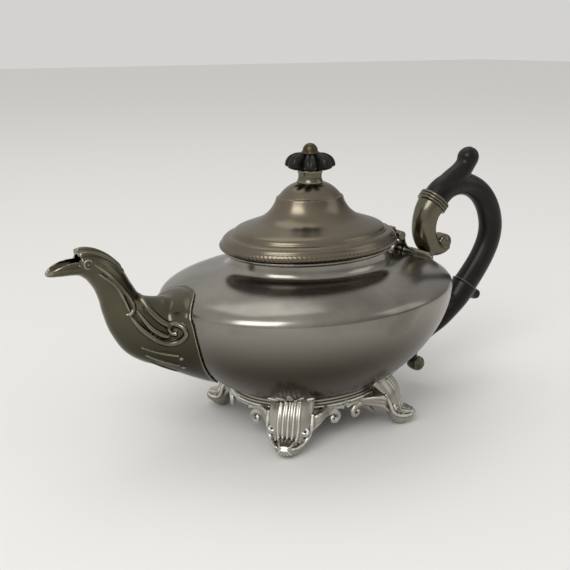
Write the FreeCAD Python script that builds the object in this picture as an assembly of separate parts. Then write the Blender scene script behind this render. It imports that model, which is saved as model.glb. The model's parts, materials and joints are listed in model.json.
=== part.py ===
import FreeCAD, Part
import math
import os

V = FreeCAD.Vector

# Driving dimensions, in millimetres and degrees. X runs from spout to handle, Z is up.
OVAL = 0.80                 # width of the body over its length
BODY_RADIUS = 85.0          # half of the body's length
BODY_EQUATOR = 76.4         # height of the widest line
BOWL_DROP = 64.35           # half height of the full lower curve
BOWL_POWER = 1.81           # fullness of the lower curve
SHOULDER_RISE = 16.8        # half height of the full upper curve
SHOULDER_POWER = 2.15       # fullness of the upper curve
BOTTOM_RADIUS = 46.7        # half length of the flat bottom
NECK_FOOT_RADIUS = 52.4
NECK_RADIUS = 46.0
NECK_TOP = 98.0
WALL = 1.8
PLATE = 1.8                 # thickness of the leaf plates and the spout flange
SEAT_TOP = 100.3            # top of the ring that the lid closes over
LID_GAP = 0.5
RIM_RADIUS = 51.0
BEZEL_RADIUS = 42.0
LID_TOP = 134.0
HINGE_X = 57.5
HINGE_Z = 99.2
KNUCKLE_RADIUS = 2.6
PIN_RADIUS = 1.0
PIN_PLAY = 0.05
FOOT_ANGLE = 45.0           # the feet stand on the diagonals
PETALS = 7
FLOWER_TURN = -123.0        # turn of the first petal from the handle
STUD_RADIUS = 1.5
FIT = 0.03                  # play of pegs, pins and studs that are fixed in their holes
OVAL_POINTS = 10            # points that shape each oval section
SPOUT_WALL = 2.2
RUN_STEPS = 14              # steps along each half of the body's curve
STRAINER_RADIUS = 1.7
BEZEL_WALL = 1.4
BEZEL_FOOT = 93.5
RIM_TOP = 108.6


def unit(vector):
    """Vector of length one in the same direction."""
    return vector * (1.0 / vector.Length)


def outline(*runs):
    """Face in the XZ plane bounded by runs of (radius, height); long runs become smooth curves."""
    edges = []
    for run in runs:
        points = [V(r, 0, z) for r, z in run]
        if len(points) == 2:
            edges.append(Part.makeLine(points[0], points[1]))
        else:
            curve = Part.BSplineCurve()
            curve.interpolate(points)
            edges.append(curve.toShape())
    return Part.Face(Part.Wire(edges))


def polygon(points):
    """Face in the XZ plane with straight sides."""
    corners = [V(r, 0, z) for r, z in points]
    return Part.Face(Part.makePolygon(corners + corners[:1]))


def turned(face):
    """Round solid turned about the vertical axis."""
    return face.revolve(V(0, 0, 0), V(0, 0, 1), 360)


def ovalled(shape):
    """Round solid pressed to the oval plan of the pot."""
    matrix = FreeCAD.Matrix()
    matrix.scale(1.0, OVAL, 1.0)
    return shape.transformGeometry(matrix)


def shifted(run, distance):
    """Run of points moved sideways, to the left of its direction of travel."""
    moved = []
    last = len(run) - 1
    for i, (r, z) in enumerate(run):
        r0, z0 = run[max(i - 1, 0)]
        r1, z1 = run[min(i + 1, last)]
        length = math.hypot(r1 - r0, z1 - z0)
        moved.append((r - distance * (z1 - z0) / length, z + distance * (r1 - r0) / length))
    return moved


def oval_wire(centre, across, side):
    """Oval wire from its centre and its two half-axis vectors."""
    points = []
    for i in range(OVAL_POINTS):
        angle = 2 * math.pi * (i + 0.5) / OVAL_POINTS
        points.append(centre + across * math.cos(angle) + side * math.sin(angle))
    curve = Part.BSplineCurve()
    curve.interpolate(points, PeriodicFlag=True)
    return Part.Wire(curve.toShape())


def frames(stations):
    """Centre and in-plane half axis of each section along a path in the XZ plane."""
    last = len(stations) - 1
    placed = []
    for i, (x, z, high, wide) in enumerate(stations):
        x0, z0 = stations[max(i - 1, 0)][:2]
        x1, z1 = stations[min(i + 1, last)][:2]
        length = math.hypot(x1 - x0, z1 - z0)
        placed.append((V(x, 0, z), V(-(z1 - z0) / length, 0, (x1 - x0) / length), high, wide))
    return placed


def ellipse_wire(centre, across, side):
    """True ellipse from its centre and its two half-axis vectors."""
    normal = across.cross(side)
    normal.normalize()
    matrix = FreeCAD.Matrix(
        across.x, side.x, normal.x, centre.x,
        across.y, side.y, normal.y, centre.y,
        across.z, side.z, normal.z, centre.z,
        0, 0, 0, 1)
    return Part.Wire(Part.makeCircle(1.0)).transformGeometry(matrix)


def strand(points, wide, high, outward):
    """Flattened strand through points in space, with its height along one direction."""
    wires = []
    last = len(points) - 1
    for i, centre in enumerate(points):
        run = points[min(i + 1, last)] - points[max(i - 1, 0)]
        side = unit(run.cross(outward))
        rise = unit(side.cross(run))
        wires.append(oval_wire(centre, side * wide[i], rise * high[i]))
    return Part.makeLoft(wires, True, False)


def tube(stations, y=0.0, section=oval_wire):
    """Solid through sections (x, z, half height, half width) along a path in the XZ plane."""
    wires = []
    for centre, across, high, wide in frames(stations):
        wires.append(section(centre + V(0, y, 0), across * high, V(0, wide, 0)))
    return Part.makeLoft(wires, True, False)


def rod(x, z, radius, y0, y1):
    """Cylinder lying along Y."""
    return Part.makeCylinder(radius, y1 - y0, V(x, y0, z), V(0, 1, 0))


def ball(x, y, z, radius):
    """Sphere."""
    return Part.makeSphere(radius, V(x, y, z))


def block(x0, x1, y0, y1, z0, z1):
    """Box between two corners."""
    return Part.makeBox(x1 - x0, y1 - y0, z1 - z0, V(x0, y0, z0))


def prism(points, direction):
    """Solid drawn out from a smooth closed outline of 3-D points."""
    curve = Part.BSplineCurve()
    curve.interpolate(points, PeriodicFlag=True)
    return Part.Face(Part.Wire(curve.toShape())).extrude(direction)


def joined(first, *others):
    """Several touching shapes made one."""
    whole = first
    for other in others:
        whole = whole.fuse(other)
    return whole


def oval_prism(radius, z0, z1):
    """Upright prism over the pot's oval plan."""
    plan = Part.Ellipse(V(0, 0, z0), radius, radius * OVAL)
    return Part.Face(Part.Wire(plan.toShape())).extrude(V(0, 0, z1 - z0))


def bowl_run():
    """Outer curve of the bowl, from the bottom edge up to the widest line."""
    end = math.acos((BOTTOM_RADIUS / BODY_RADIUS) ** (BOWL_POWER / 2))
    points = []
    for i in range(RUN_STEPS + 1):
        t = end * (1 - i / RUN_STEPS)
        r = BODY_RADIUS * math.cos(t) ** (2 / BOWL_POWER)
        z = BODY_EQUATOR - BOWL_DROP * math.sin(t) ** (2 / BOWL_POWER)
        points.append((r, z))
    return points


def shoulder_run():
    """Outer curve from the widest line over the shoulder and up the hollow neck."""
    end = math.acos((NECK_FOOT_RADIUS / BODY_RADIUS) ** (SHOULDER_POWER / 2))
    points = []
    for i in range(RUN_STEPS + 1):
        t = end * i / RUN_STEPS
        r = BODY_RADIUS * math.cos(t) ** (2 / SHOULDER_POWER)
        z = BODY_EQUATOR + SHOULDER_RISE * math.sin(t) ** (2 / SHOULDER_POWER)
        points.append((r, z))
    return points + [(48.6, 91.6), (46.6, 94.0), (NECK_RADIUS, NECK_TOP)]


def body_solid(grow):
    """Body filled solid up to the neck, grown outwards by a distance."""
    low = shifted(bowl_run(), -grow) if grow else bowl_run()
    high = shifted(shoulder_run(), -grow) if grow else shoulder_run()
    low[-1] = (BODY_RADIUS + grow, BODY_EQUATOR)
    high[0] = low[-1]
    floor = low[0][1]
    top = high[-1][1]
    return ovalled(turned(outline(
        [(0, floor), low[0]], low, high, [high[-1], (0, top)], [(0, top), (0, floor)])))


BODY = body_solid(0.0)
PLATED = body_solid(PLATE)
SKIN = PLATED.cut(BODY)


STRAINER_ROWS = (
    (52.0, (-4.0, 4.0)), (57.5, (-8.0, 0.0, 8.0)), (63.0, (-10.5, -3.5, 3.5, 10.5)), (68.5, (-8.0, 0.0, 8.0)))


def lower_bowl():
    """Spun lower half with its flat bottom, pierced as a strainer behind the spout."""
    outer = bowl_run()
    inner = shifted(outer, WALL)
    inner[-1] = (BODY_RADIUS - WALL, BODY_EQUATOR)
    floor = outer[0][1]
    inner[0] = (BOTTOM_RADIUS - 0.4, floor + WALL)
    bowl = ovalled(turned(outline(
        [(0, floor), outer[0]], outer, [outer[-1], inner[-1]], inner[::-1],
        [inner[0], (0, inner[0][1])], [(0, inner[0][1]), (0, floor)])))
    holes = []
    for z, row in STRAINER_ROWS:
        for y in row:
            holes.append(Part.makeCylinder(STRAINER_RADIUS, 30, V(-95, y, z), V(1, 0, 0)))
    return bowl.cut(Part.makeCompound(holes))


def shoulder():
    """Spun upper half with the neck."""
    outer = shoulder_run()
    inner = shifted(outer, WALL)
    inner[0] = (BODY_RADIUS - WALL, BODY_EQUATOR)
    inner[-1] = (NECK_RADIUS - WALL, NECK_TOP)
    return ovalled(turned(outline(
        outer, [outer[-1], inner[-1]], inner[::-1], [inner[0], outer[0]])))


def neck_ring():
    """Rolled ring round the mouth, under the lid."""
    return ovalled(turned(polygon([
        (43.6, NECK_TOP), (47.2, NECK_TOP), (48.2, 98.8), (48.2, 99.6), (47.4, SEAT_TOP),
        (43.6, SEAT_TOP)])))


SPOUT = [
    (-66.0, 60.0, 25.0, 18.5), (-80.0, 61.5, 24.0, 18.0), (-90.0, 66.0, 20.0, 15.2),
    (-98.5, 71.5, 16.0, 12.3), (-104.5, 77.5, 12.8, 10.4), (-108.5, 84.0, 10.2, 9.2),
    (-111.3, 91.0, 8.7, 8.4), (-114.5, 98.0, 8.2, 8.2), (-119.0, 104.3, 8.0, 8.0),
    (-124.5, 108.2, 7.4, 7.6), (-130.0, 109.4, 6.7, 7.0)]
LIP_WAY = [(-138.0, 109.8, 4.5, 4.6), (-152.0, 110.4, 4.2, 3.4)]
BEAK = [
    (-125.0, 105.8, 4.2, 6.4), (-133.0, 106.4, 3.9, 6.0), (-139.0, 105.8, 3.4, 4.6),
    (-143.6, 104.2, 1.2, 1.8)]
CREST = [
    (-129.6, 115.3, 1.3, 1.5), (-122.0, 114.3, 1.3, 1.5), (-114.0, 109.9, 1.3, 1.5),
    (-108.4, 102.5, 1.0, 1.2)]
CREST_SIDE = 4.0
CREST_DROP = 0.9
SHIELD = [
    (0.0, 86.8), (13.0, 86.6), (20.0, 82.4), (22.6, 75.0), (21.8, 64.0), (18.4, 54.0), (12.0, 45.0),
    (4.0, 37.0), (0.0, 34.6)]
SHIELD_PLANE = -98.0
LOWER_REED = [
    (-107.2, 9.6, 79.5), (-104.0, 11.0, 74.7), (-98.5, 13.0, 69.1), (-93.4, 15.2, 65.6), (-88.6, 17.0, 64.9)]
UPPER_REED = [
    (-100.4, 4.6, 87.6), (-98.4, 8.6, 82.4), (-95.0, 11.6, 77.6), (-91.4, 13.8, 74.4), (-87.4, 15.6, 73.2)]
REED_WIDTH = (0.8, 1.5, 1.8, 1.8, 1.4)
VOLUTE = (-86.4, 69.0)
EYE = (-125.2, 108.2)


def spout():
    """Cast spout with its bird's head, scrolled sides and the shield-shaped flange on the bowl."""
    way = [(x, z, high - SPOUT_WALL, wide - SPOUT_WALL) for x, z, high, wide in SPOUT] + LIP_WAY
    passage = tube(way, section=ellipse_wire)
    border = [V(SHIELD_PLANE, y, z) for y, z in SHIELD]
    border += [V(SHIELD_PLANE, -y, z) for y, z in SHIELD[-2:0:-1]]
    flange = prism(border, V(60, 0, 0)).common(SKIN).cut(passage)
    neck = tube(SPOUT, section=ellipse_wire).cut(passage)
    beak = tube(BEAK, section=ellipse_wire).cut(passage)
    side_crest = [(x, z - CREST_DROP, high, wide) for x, z, high, wide in CREST]
    trim = [tube(CREST, 0.0, ellipse_wire)]
    for side in (-1, 1):
        trim.append(tube(side_crest, CREST_SIDE * side, ellipse_wire))
        trim.append(rod(*EYE, 2.0, *sorted((6.0 * side, 8.6 * side))))
        trim.append(rod(*VOLUTE, 5.6, *sorted((13.6 * side, 18.6 * side))))
        trim.append(rod(*VOLUTE, 2.4, *sorted((13.6 * side, 19.6 * side))))
        for reed in (LOWER_REED, UPPER_REED):
            line = [V(x, y * side, z) for x, y, z in reed]
            trim.append(strand(line, REED_WIDTH, REED_WIDTH, V(0, side, 0)).cut(passage))
    return joined(joined(neck, beak, *trim).cut(BODY), flange)


def upper_plate():
    """Leaf on the shoulder under the handle's upper socket."""
    half = [(61.0, 0.0), (66.0, 6.0), (72.0, 7.2), (77.0, 10.2), (83.0, 8.6), (87.0, 4.6)]
    points = [V(x, y, 60) for x, y in half] + [V(88.5, 0, 60)]
    points += [V(x, -y, 60) for x, y in half[:0:-1]]
    return prism(points, V(0, 0, 50)).common(SKIN).cut(block(0, 120, -30, 30, 0, BODY_EQUATOR))


def lower_plate():
    """Leaf on the bowl under the handle's lower socket."""
    half = [(64.0, 0.0), (59.0, 6.5), (50.0, 8.6), (42.0, 6.0)]
    points = [V(40, y, z) for z, y in half] + [V(40, 0, 36)]
    points += [V(40, -y, z) for z, y in half[:0:-1]]
    return prism(points, V(60, 0, 0)).common(SKIN)


GRIP = [
    (89.0, 116.6, 8.0, 7.4), (93.4, 120.4, 8.0, 7.2), (100.0, 123.2, 7.6, 6.8), (108.0, 123.6, 7.0, 6.4),
    (116.0, 121.6, 6.8, 6.3), (123.6, 117.2, 7.0, 6.4), (129.8, 110.6, 7.3, 6.5), (134.0, 102.4, 7.6, 6.6),
    (135.8, 93.6, 7.7, 6.7), (134.4, 84.6, 7.7, 6.7), (130.0, 75.4, 7.7, 6.7), (123.6, 66.6, 7.8, 6.8),
    (116.6, 58.6, 8.0, 7.0)]
THUMB = [
    (94.4, 120.6, 7.2, 6.8), (101.6, 126.6, 6.8, 6.4), (107.4, 132.2, 6.2, 6.0), (111.2, 136.6, 6.4, 6.2),
    (113.2, 140.4, 5.9, 5.8), (113.6, 143.4, 4.2, 4.2), (113.4, 145.2, 1.2, 1.4)]
UPPER_AXIS = V(0.66, 0, 0.75)
LOWER_AXIS = V(-0.66, 0, -0.75)
UPPER_END = V(89.0, 0, 116.6)
LOWER_END = V(116.6, 0, 58.6)
TENON_RADIUS = 4.4
TENON_LENGTH = 13.0
UPPER_PIN_DEPTH = 9.5
LOWER_PIN_DEPTH = 7.0
PIN_REACH = 20.0
TRIM_REACH = 60.0           # size of the blanks that trim ends square


def tenon(end, axis, play):
    """Round peg leaving one end of the grip."""
    return Part.makeCylinder(TENON_RADIUS + play, TENON_LENGTH + play, end, unit(axis))


def end_blank(end, axis):
    """Wide cylinder standing on one end of the grip, to trim pieces square there."""
    return Part.makeCylinder(TRIM_REACH / 2, TRIM_REACH, end, unit(axis))


def upper_pin_at(radius, reach):
    """Cross pin through the upper peg."""
    spot = UPPER_END - unit(UPPER_AXIS) * UPPER_PIN_DEPTH
    return rod(spot.x, spot.z, radius, -reach, reach)


def lower_pin_at(radius, reach):
    """Cross pin through the lower peg."""
    spot = LOWER_END + unit(LOWER_AXIS) * LOWER_PIN_DEPTH
    return rod(spot.x, spot.z, radius, -reach, reach)


def handle_grip():
    """Ebonised wooden grip with thumb rest and a peg at each end."""
    grip = joined(tube(GRIP), tube(THUMB))
    above = end_blank(UPPER_END, UPPER_AXIS * -1).common(block(40, 105, -40, 40, 60, 118))
    grip = grip.cut(above).cut(end_blank(LOWER_END, LOWER_AXIS))
    grip = joined(grip, tenon(UPPER_END, UPPER_AXIS * -1, 0), tenon(LOWER_END, LOWER_AXIS, 0))
    return grip.cut(upper_pin_at(PIN_RADIUS + FIT, PIN_REACH)).cut(lower_pin_at(PIN_RADIUS + FIT, PIN_REACH))


COLLAR_LENGTH = 5.4
REEDS = 3
REED_ROOT = 8.6
REED_TOP = 9.3


def collar():
    """Three reeds round the joint of the upper socket and the grip."""
    reeds = [(TENON_RADIUS + FIT, 0.0), (REED_ROOT, 0.0)]
    pitch = COLLAR_LENGTH / REEDS
    for i in range(REEDS):
        z = i * pitch
        reeds += [(REED_TOP, z + 0.3 * pitch), (REED_TOP, z + 0.7 * pitch), (REED_ROOT, z + pitch)]
    reeds += [(TENON_RADIUS + FIT, COLLAR_LENGTH)]
    ring = turned(polygon(reeds))
    ring.Placement = FreeCAD.Placement(
        UPPER_END - unit(UPPER_AXIS) * COLLAR_LENGTH, FreeCAD.Rotation(V(0, 0, 1), UPPER_AXIS))
    return ring


CURL = (95.4, 90.0)         # eye of the scroll behind the upper socket


def upper_socket():
    """Metal stem from the shoulder leaf to the collar, with a scroll curl behind."""
    end = UPPER_END - unit(UPPER_AXIS) * COLLAR_LENGTH
    tip = end + unit(UPPER_AXIS) * 1.0
    stem = tube([
        (85.0, 78.0, 8.6, 8.2), (83.4, 86.0, 8.0, 7.6), (81.6, 94.0, 7.4, 7.2), (81.2, 102.0, 7.3, 7.2),
        (82.8, 108.6, 7.7, 7.5), (tip.x, tip.z, 8.4, 8.4)])
    arm = tube([
        (82.0, 92.0, 6.0, 6.4), (87.0, 86.6, 5.0, 5.8), (94.6, 85.0, 3.0, 5.0), (99.4, 88.2, 2.4, 4.8)])
    curl = joined(rod(*CURL, 4.9, -5.2, 5.2), rod(*CURL, 2.2, -6.2, 6.2))
    cast = joined(stem, arm, curl).cut(end_blank(end, UPPER_AXIS)).cut(PLATED)
    return cast.cut(tenon(UPPER_END, UPPER_AXIS * -1, FIT)).cut(upper_pin_at(PIN_RADIUS + FIT, PIN_REACH))


def lower_socket():
    """Metal lower end: socket, spur, bracket to the bowl and a hanging tail with a curl."""
    tail = tube([
        (116.6, 58.6, 8.6, 7.8), (111.0, 52.2, 9.0, 7.8), (104.6, 45.6, 8.6, 7.4), (97.0, 39.6, 7.2, 6.6),
        (88.6, 33.6, 5.8, 5.8), (80.0, 26.8, 4.8, 5.0), (75.4, 20.4, 4.0, 4.4), (77.2, 14.6, 3.2, 3.8)])
    bracket = Part.makeCone(5.6, 8.4, 36, V(104, 0, 49.6), V(-1, 0, 0))
    spur = tube([(112.0, 54.0, 4.6, 4.6), (120.0, 51.8, 4.0, 4.0), (126.0, 50.4, 3.0, 3.2)])
    curl = ball(79.4, 0, 13.8, 5.4)
    end = end_blank(LOWER_END, LOWER_AXIS * -1)
    cast = joined(tail, bracket, spur, ball(126.2, 0, 50.4, 3.1), curl).cut(end).cut(PLATED)
    return cast.cut(tenon(LOWER_END, LOWER_AXIS, FIT)).cut(lower_pin_at(PIN_RADIUS + FIT, PIN_REACH))


RING_BOTTOM = 21.6


def base_ring():
    """Oval moulding soldered under the bowl, which carries the feet."""
    top = bowl_run()[0][1]
    return ovalled(turned(polygon([
        (38.0, RING_BOTTOM), (45.6, RING_BOTTOM), (46.8, 22.6), (46.8, 23.4), (45.8, 24.0), (45.8, 24.6),
        (46.4, top), (38.0, top)])))


FOOT_REACH = 80.0
FOOT_GAP = 0.15             # half of the gap between neighbouring feet
APRON_OUTER = 45.6
APRON_INNER = 42.4
APRON_FOOT = 9.0
ARCH_CENTRE = 0.6
SIDE_ARCH = 17.0            # radius of the arch under each end of the pot
FRONT_ARCH = 19.5           # radius of the arch under each long side
LEG = [
    (39.0, 22.0, 4.2, 12.0), (45.0, 18.0, 4.6, 12.2), (48.8, 11.8, 4.2, 9.6), (51.6, 6.0, 3.8, 7.4),
    (54.6, 2.4, 3.0, 6.0), (58.6, 2.6, 2.4, 5.0), (61.4, 5.4, 2.0, 4.2)]
LEG_RIB = [
    (47.0, 20.8, 1.6, 1.8), (51.6, 15.0, 1.7, 2.2), (54.0, 9.0, 1.6, 1.9), (56.6, 5.6, 1.4, 1.5),
    (60.4, 5.6, 1.2, 1.2)]
FOOT_VOLUTE = (51.0, 5.6, 11.6)
VOLUTE_RADIUS = 3.0
SCROLL_SPAN = (15.0, 20.0, 25.0, 29.5, 32.0)      # turns of the apron scroll from the foot, in degrees
SCROLL_HEIGHT = (9.6, 13.6, 16.4, 16.2, 13.6)
SCROLL_SIZE = (1.6, 1.7, 1.7, 1.6, 1.3)
SCROLL_RADIUS = 45.4


def apron_scroll(foot_turn, direction):
    """Hanging C-scroll under the apron on one side of a foot, with the bead that ends it."""
    points = []
    for span, z in zip(SCROLL_SPAN, SCROLL_HEIGHT):
        turn = foot_turn + direction * math.radians(span)
        points.append(V(SCROLL_RADIUS * math.cos(turn), -SCROLL_RADIUS * OVAL * math.sin(turn), z))
    bead = (points[-1] + points[-2]) * 0.5
    scroll = strand(points, SCROLL_SIZE, SCROLL_SIZE, V(0, 0, 1))
    return scroll.fuse(ball(bead.x, bead.y, SCROLL_HEIGHT[-1], 2.2))


def foot():
    """Cast scroll foot on one diagonal with the half aprons on either side of it."""
    inside = oval_prism(APRON_INNER, APRON_FOOT, RING_BOTTOM)
    band = oval_prism(APRON_OUTER, APRON_FOOT, RING_BOTTOM).cut(inside)
    ends = Part.makeCylinder(SIDE_ARCH, 2 * FOOT_REACH, V(-FOOT_REACH, 0, ARCH_CENTRE), V(1, 0, 0))
    sides = Part.makeCylinder(FRONT_ARCH, 2 * FOOT_REACH, V(0, -FOOT_REACH, ARCH_CENTRE), V(0, 1, 0))
    quarter = block(FOOT_GAP, FOOT_REACH, -FOOT_REACH, -FOOT_GAP, 0, 2 * RING_BOTTOM)
    apron = band.common(quarter).cut(ends).cut(sides)
    leg = joined(tube(LEG), tube(LEG_RIB))
    along, across, up = FOOT_VOLUTE
    for side in (-1, 1):
        roll = Part.makeCylinder(VOLUTE_RADIUS, 6.0, V(along - 3.0, side * across, up), V(1, 0, 0.25))
        leg = leg.fuse(roll)
    leg.rotate(V(0, 0, 0), V(0, 0, 1), -FOOT_ANGLE)
    leg = leg.common(quarter).cut(oval_prism(46.9, RING_BOTTOM, 60)).cut(BODY)
    foot_turn = math.atan2(math.tan(math.radians(FOOT_ANGLE)), OVAL)
    scrolls = [apron_scroll(foot_turn, direction) for direction in (-1, 1)]
    return joined(leg, apron, *scrolls)


def hinge_body_leaf():
    """Bracket on the shoulder with the two outer knuckles of the lid hinge."""
    plate = block(HINGE_X - 1.6, HINGE_X + 1.6, -9, 9, 80, HINGE_Z)
    relief = rod(HINGE_X, HINGE_Z, KNUCKLE_RADIUS + 0.5, -3.0, 3.0)
    outer = [rod(HINGE_X, HINGE_Z, KNUCKLE_RADIUS, -9, -3.0), rod(HINGE_X, HINGE_Z, KNUCKLE_RADIUS, 3.0, 9)]
    slot = block(HINGE_X - 5, HINGE_X + 5, -3, 3, HINGE_Z - 3, HINGE_Z + 5)
    leaf = joined(plate, *outer).cut(relief).cut(slot)
    return leaf.cut(BODY).cut(rod(HINGE_X, HINGE_Z, PIN_RADIUS + PIN_PLAY, -PIN_REACH, PIN_REACH))


def hinge_pin():
    """Steel pin through the knuckles."""
    return rod(HINGE_X, HINGE_Z, PIN_RADIUS, -9, 9)


def lid_rim_solid():
    """Gadrooned moulding round the lid's edge."""
    low = SEAT_TOP + LID_GAP
    return ovalled(turned(outline(
        [(BEZEL_RADIUS, low), (50.2, low)],
        [(50.2, low), (RIM_RADIUS, low + 0.8)],
        [(RIM_RADIUS, low + 0.8), (RIM_RADIUS, low + 2.4)],
        [(RIM_RADIUS, low + 2.4), (50.2, low + 4.4), (48.0, low + 6.4), (44.6, RIM_TOP)],
        [(44.6, RIM_TOP), (BEZEL_RADIUS, RIM_TOP)],
        [(BEZEL_RADIUS, RIM_TOP), (BEZEL_RADIUS, low)])))


def lid_bezel():
    """Inner flange that keeps the lid in the neck."""
    return ovalled(turned(polygon([
        (BEZEL_RADIUS - BEZEL_WALL, BEZEL_FOOT), (BEZEL_RADIUS, BEZEL_FOOT), (BEZEL_RADIUS, RIM_TOP),
        (BEZEL_RADIUS - BEZEL_WALL, RIM_TOP)])))


DOME = [
    (43.8, RIM_TOP), (42.8, 109.9), (40.6, 111.2), (34.6, 113.2), (28.4, 115.4), (23.8, 118.6), (20.6, 122.6),
    (18.8, 126.4)]
LID_WALL = 1.5
STUD_FOOT = 128.6
STUD_TOP = 152.0
CROWN = [(17.4, 127.6), (14.4, 130.6), (11.2, 132.8), (8.4, LID_TOP)]


def stud_way():
    """Hole that the stud passes through."""
    return Part.makeCylinder(STUD_RADIUS + FIT, STUD_TOP - STUD_FOOT, V(0, 0, STUD_FOOT))


def lid_dome():
    """Spun bell-shaped top of the lid with a step under the finial."""
    under = shifted(DOME, LID_WALL)
    under[0] = (41.6, RIM_TOP)
    roof = [(17.2, 126.0), (13.4, 129.2), (10.4, 131.4), (8.0, LID_TOP - LID_WALL)]
    dome = ovalled(turned(outline(
        DOME, [DOME[-1], CROWN[0]], CROWN, [CROWN[-1], (0, LID_TOP)], [(0, LID_TOP), (0, roof[-1][1])],
        [(0, roof[-1][1]), roof[-1]], roof[::-1], [roof[0], under[-1]], under[::-1], [under[0], DOME[0]])))
    return dome.cut(stud_way())


def hinge_lid_leaf():
    """Middle knuckle of the hinge with its lug on the lid's rim."""
    half, low, high = 2.6, 101.6, 103.2
    lug = block(46.0, HINGE_X, -half, half, low, high).cut(oval_prism(RIM_RADIUS, 90, 110))
    riser = block(HINGE_X - 2.4, HINGE_X, -half, half, HINGE_Z, high)
    leaf = joined(rod(HINGE_X, HINGE_Z, KNUCKLE_RADIUS, -half, half), riser, lug)
    return leaf.cut(rod(HINGE_X, HINGE_Z, PIN_RADIUS + PIN_PLAY, -PIN_REACH, PIN_REACH))


STEM_TOP = 141.0
PETAL_TOP = 149.4
FINIAL_TOP = 154.8


def finial_stem():
    """Turned metal stem between lid and flower."""
    return turned(polygon([
        (STUD_RADIUS + FIT, LID_TOP), (7.2, LID_TOP), (6.6, 135.6), (6.2, 137.4), (6.6, STEM_TOP),
        (STUD_RADIUS + FIT, STEM_TOP)]))


PETAL = [
    (4.0, 146.6, 2.2, 2.6), (7.8, 146.4, 2.4, 4.4), (11.2, 144.4, 2.2, 5.0), (13.2, 141.9, 1.4, 3.6)]


def finial_petals():
    """Drooping flower of the finial."""
    core = turned(polygon([
        (STUD_RADIUS + FIT, STEM_TOP), (6.8, STEM_TOP), (8.4, 143.2), (7.0, 147.4), (4.6, PETAL_TOP),
        (STUD_RADIUS + FIT, PETAL_TOP)]))
    flower = core
    for i in range(PETALS):
        petal = tube(PETAL)
        petal.rotate(V(0, 0, 0), V(0, 0, 1), FLOWER_TURN + 360.0 * i / PETALS)
        flower = flower.fuse(petal)
    return flower.cut(stud_way())


def finial_button():
    """Acorn tip over the end of the stud."""
    cap = turned(outline(
        [(0, PETAL_TOP), (4.4, PETAL_TOP)],
        [(4.4, PETAL_TOP), (4.7, 151.0), (3.9, 153.0), (2.0, 154.4), (0, FINIAL_TOP)],
        [(0, FINIAL_TOP), (0, PETAL_TOP)]))
    return cap.cut(stud_way())


def finial_stud():
    """Threaded stud that draws the finial down on the lid."""
    return Part.makeCylinder(STUD_RADIUS, STUD_TOP - STUD_FOOT, V(0, 0, STUD_FOOT))


def finial_nut():
    """Nut under the lid's crown."""
    foot, radius = 129.6, 3.4
    corners = []
    for i in range(6):
        angle = math.pi * i / 3
        corners.append(V(radius * math.cos(angle), radius * math.sin(angle), foot))
    blank = Part.Face(Part.makePolygon(corners + corners[:1])).extrude(V(0, 0, LID_TOP - LID_WALL - foot))
    return blank.cut(stud_way())


def build():
    """All pieces by node name."""
    cast = foot()
    mirrored_x = cast.mirror(V(0, 0, 0), V(1, 0, 0))
    return {
        "lower_bowl": lower_bowl(),
        "shoulder": shoulder(),
        "neck_ring": neck_ring(),
        "spout": spout(),
        "handle_upper_plate": upper_plate(),
        "handle_upper_socket": upper_socket(),
        "handle_collar": collar(),
        "handle_grip": handle_grip(),
        "handle_upper_pin": upper_pin_at(PIN_RADIUS, 7.0),
        "handle_lower_plate": lower_plate(),
        "handle_lower_socket": lower_socket(),
        "handle_lower_pin": lower_pin_at(PIN_RADIUS, 7.2),
        "base_ring": base_ring(),
        "foot_handle_near": cast,
        "foot_spout_near": mirrored_x,
        "foot_handle_far": cast.mirror(V(0, 0, 0), V(0, 1, 0)),
        "foot_spout_far": mirrored_x.mirror(V(0, 0, 0), V(0, 1, 0)),
        "hinge_body_leaf": hinge_body_leaf(),
        "hinge_pin": hinge_pin(),
        "lid_dome": lid_dome(),
        "lid_rim": lid_rim_solid(),
        "lid_bezel": lid_bezel(),
        "hinge_lid_leaf": hinge_lid_leaf(),
        "finial_stem": finial_stem(),
        "finial_petals": finial_petals(),
        "finial_button": finial_button(),
        "finial_stud": finial_stud(),
        "finial_nut": finial_nut(),
    }


os.makedirs("parts", exist_ok=True)
for name, shape in build().items():
    shape.exportStep("parts/%s.step" % name)
    box = shape.BoundBox
    print("%-20s valid %s solids %d volume %8.1f x %.1f..%.1f y %.1f..%.1f z %.1f..%.1f" % (
        name, shape.isValid(), len(shape.Solids), shape.Volume,
        box.XMin, box.XMax, box.YMin, box.YMax, box.ZMin, box.ZMax))
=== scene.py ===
"""Visual model of a footed oval pewter teapot with a bird-headed spout and a hinged lid."""

import json
import logging
import math
from dataclasses import dataclass
from enum import Enum
from functools import cached_property
from typing import Callable, Sequence

import bmesh
import bpy
from mathutils import Matrix, Vector

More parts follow.
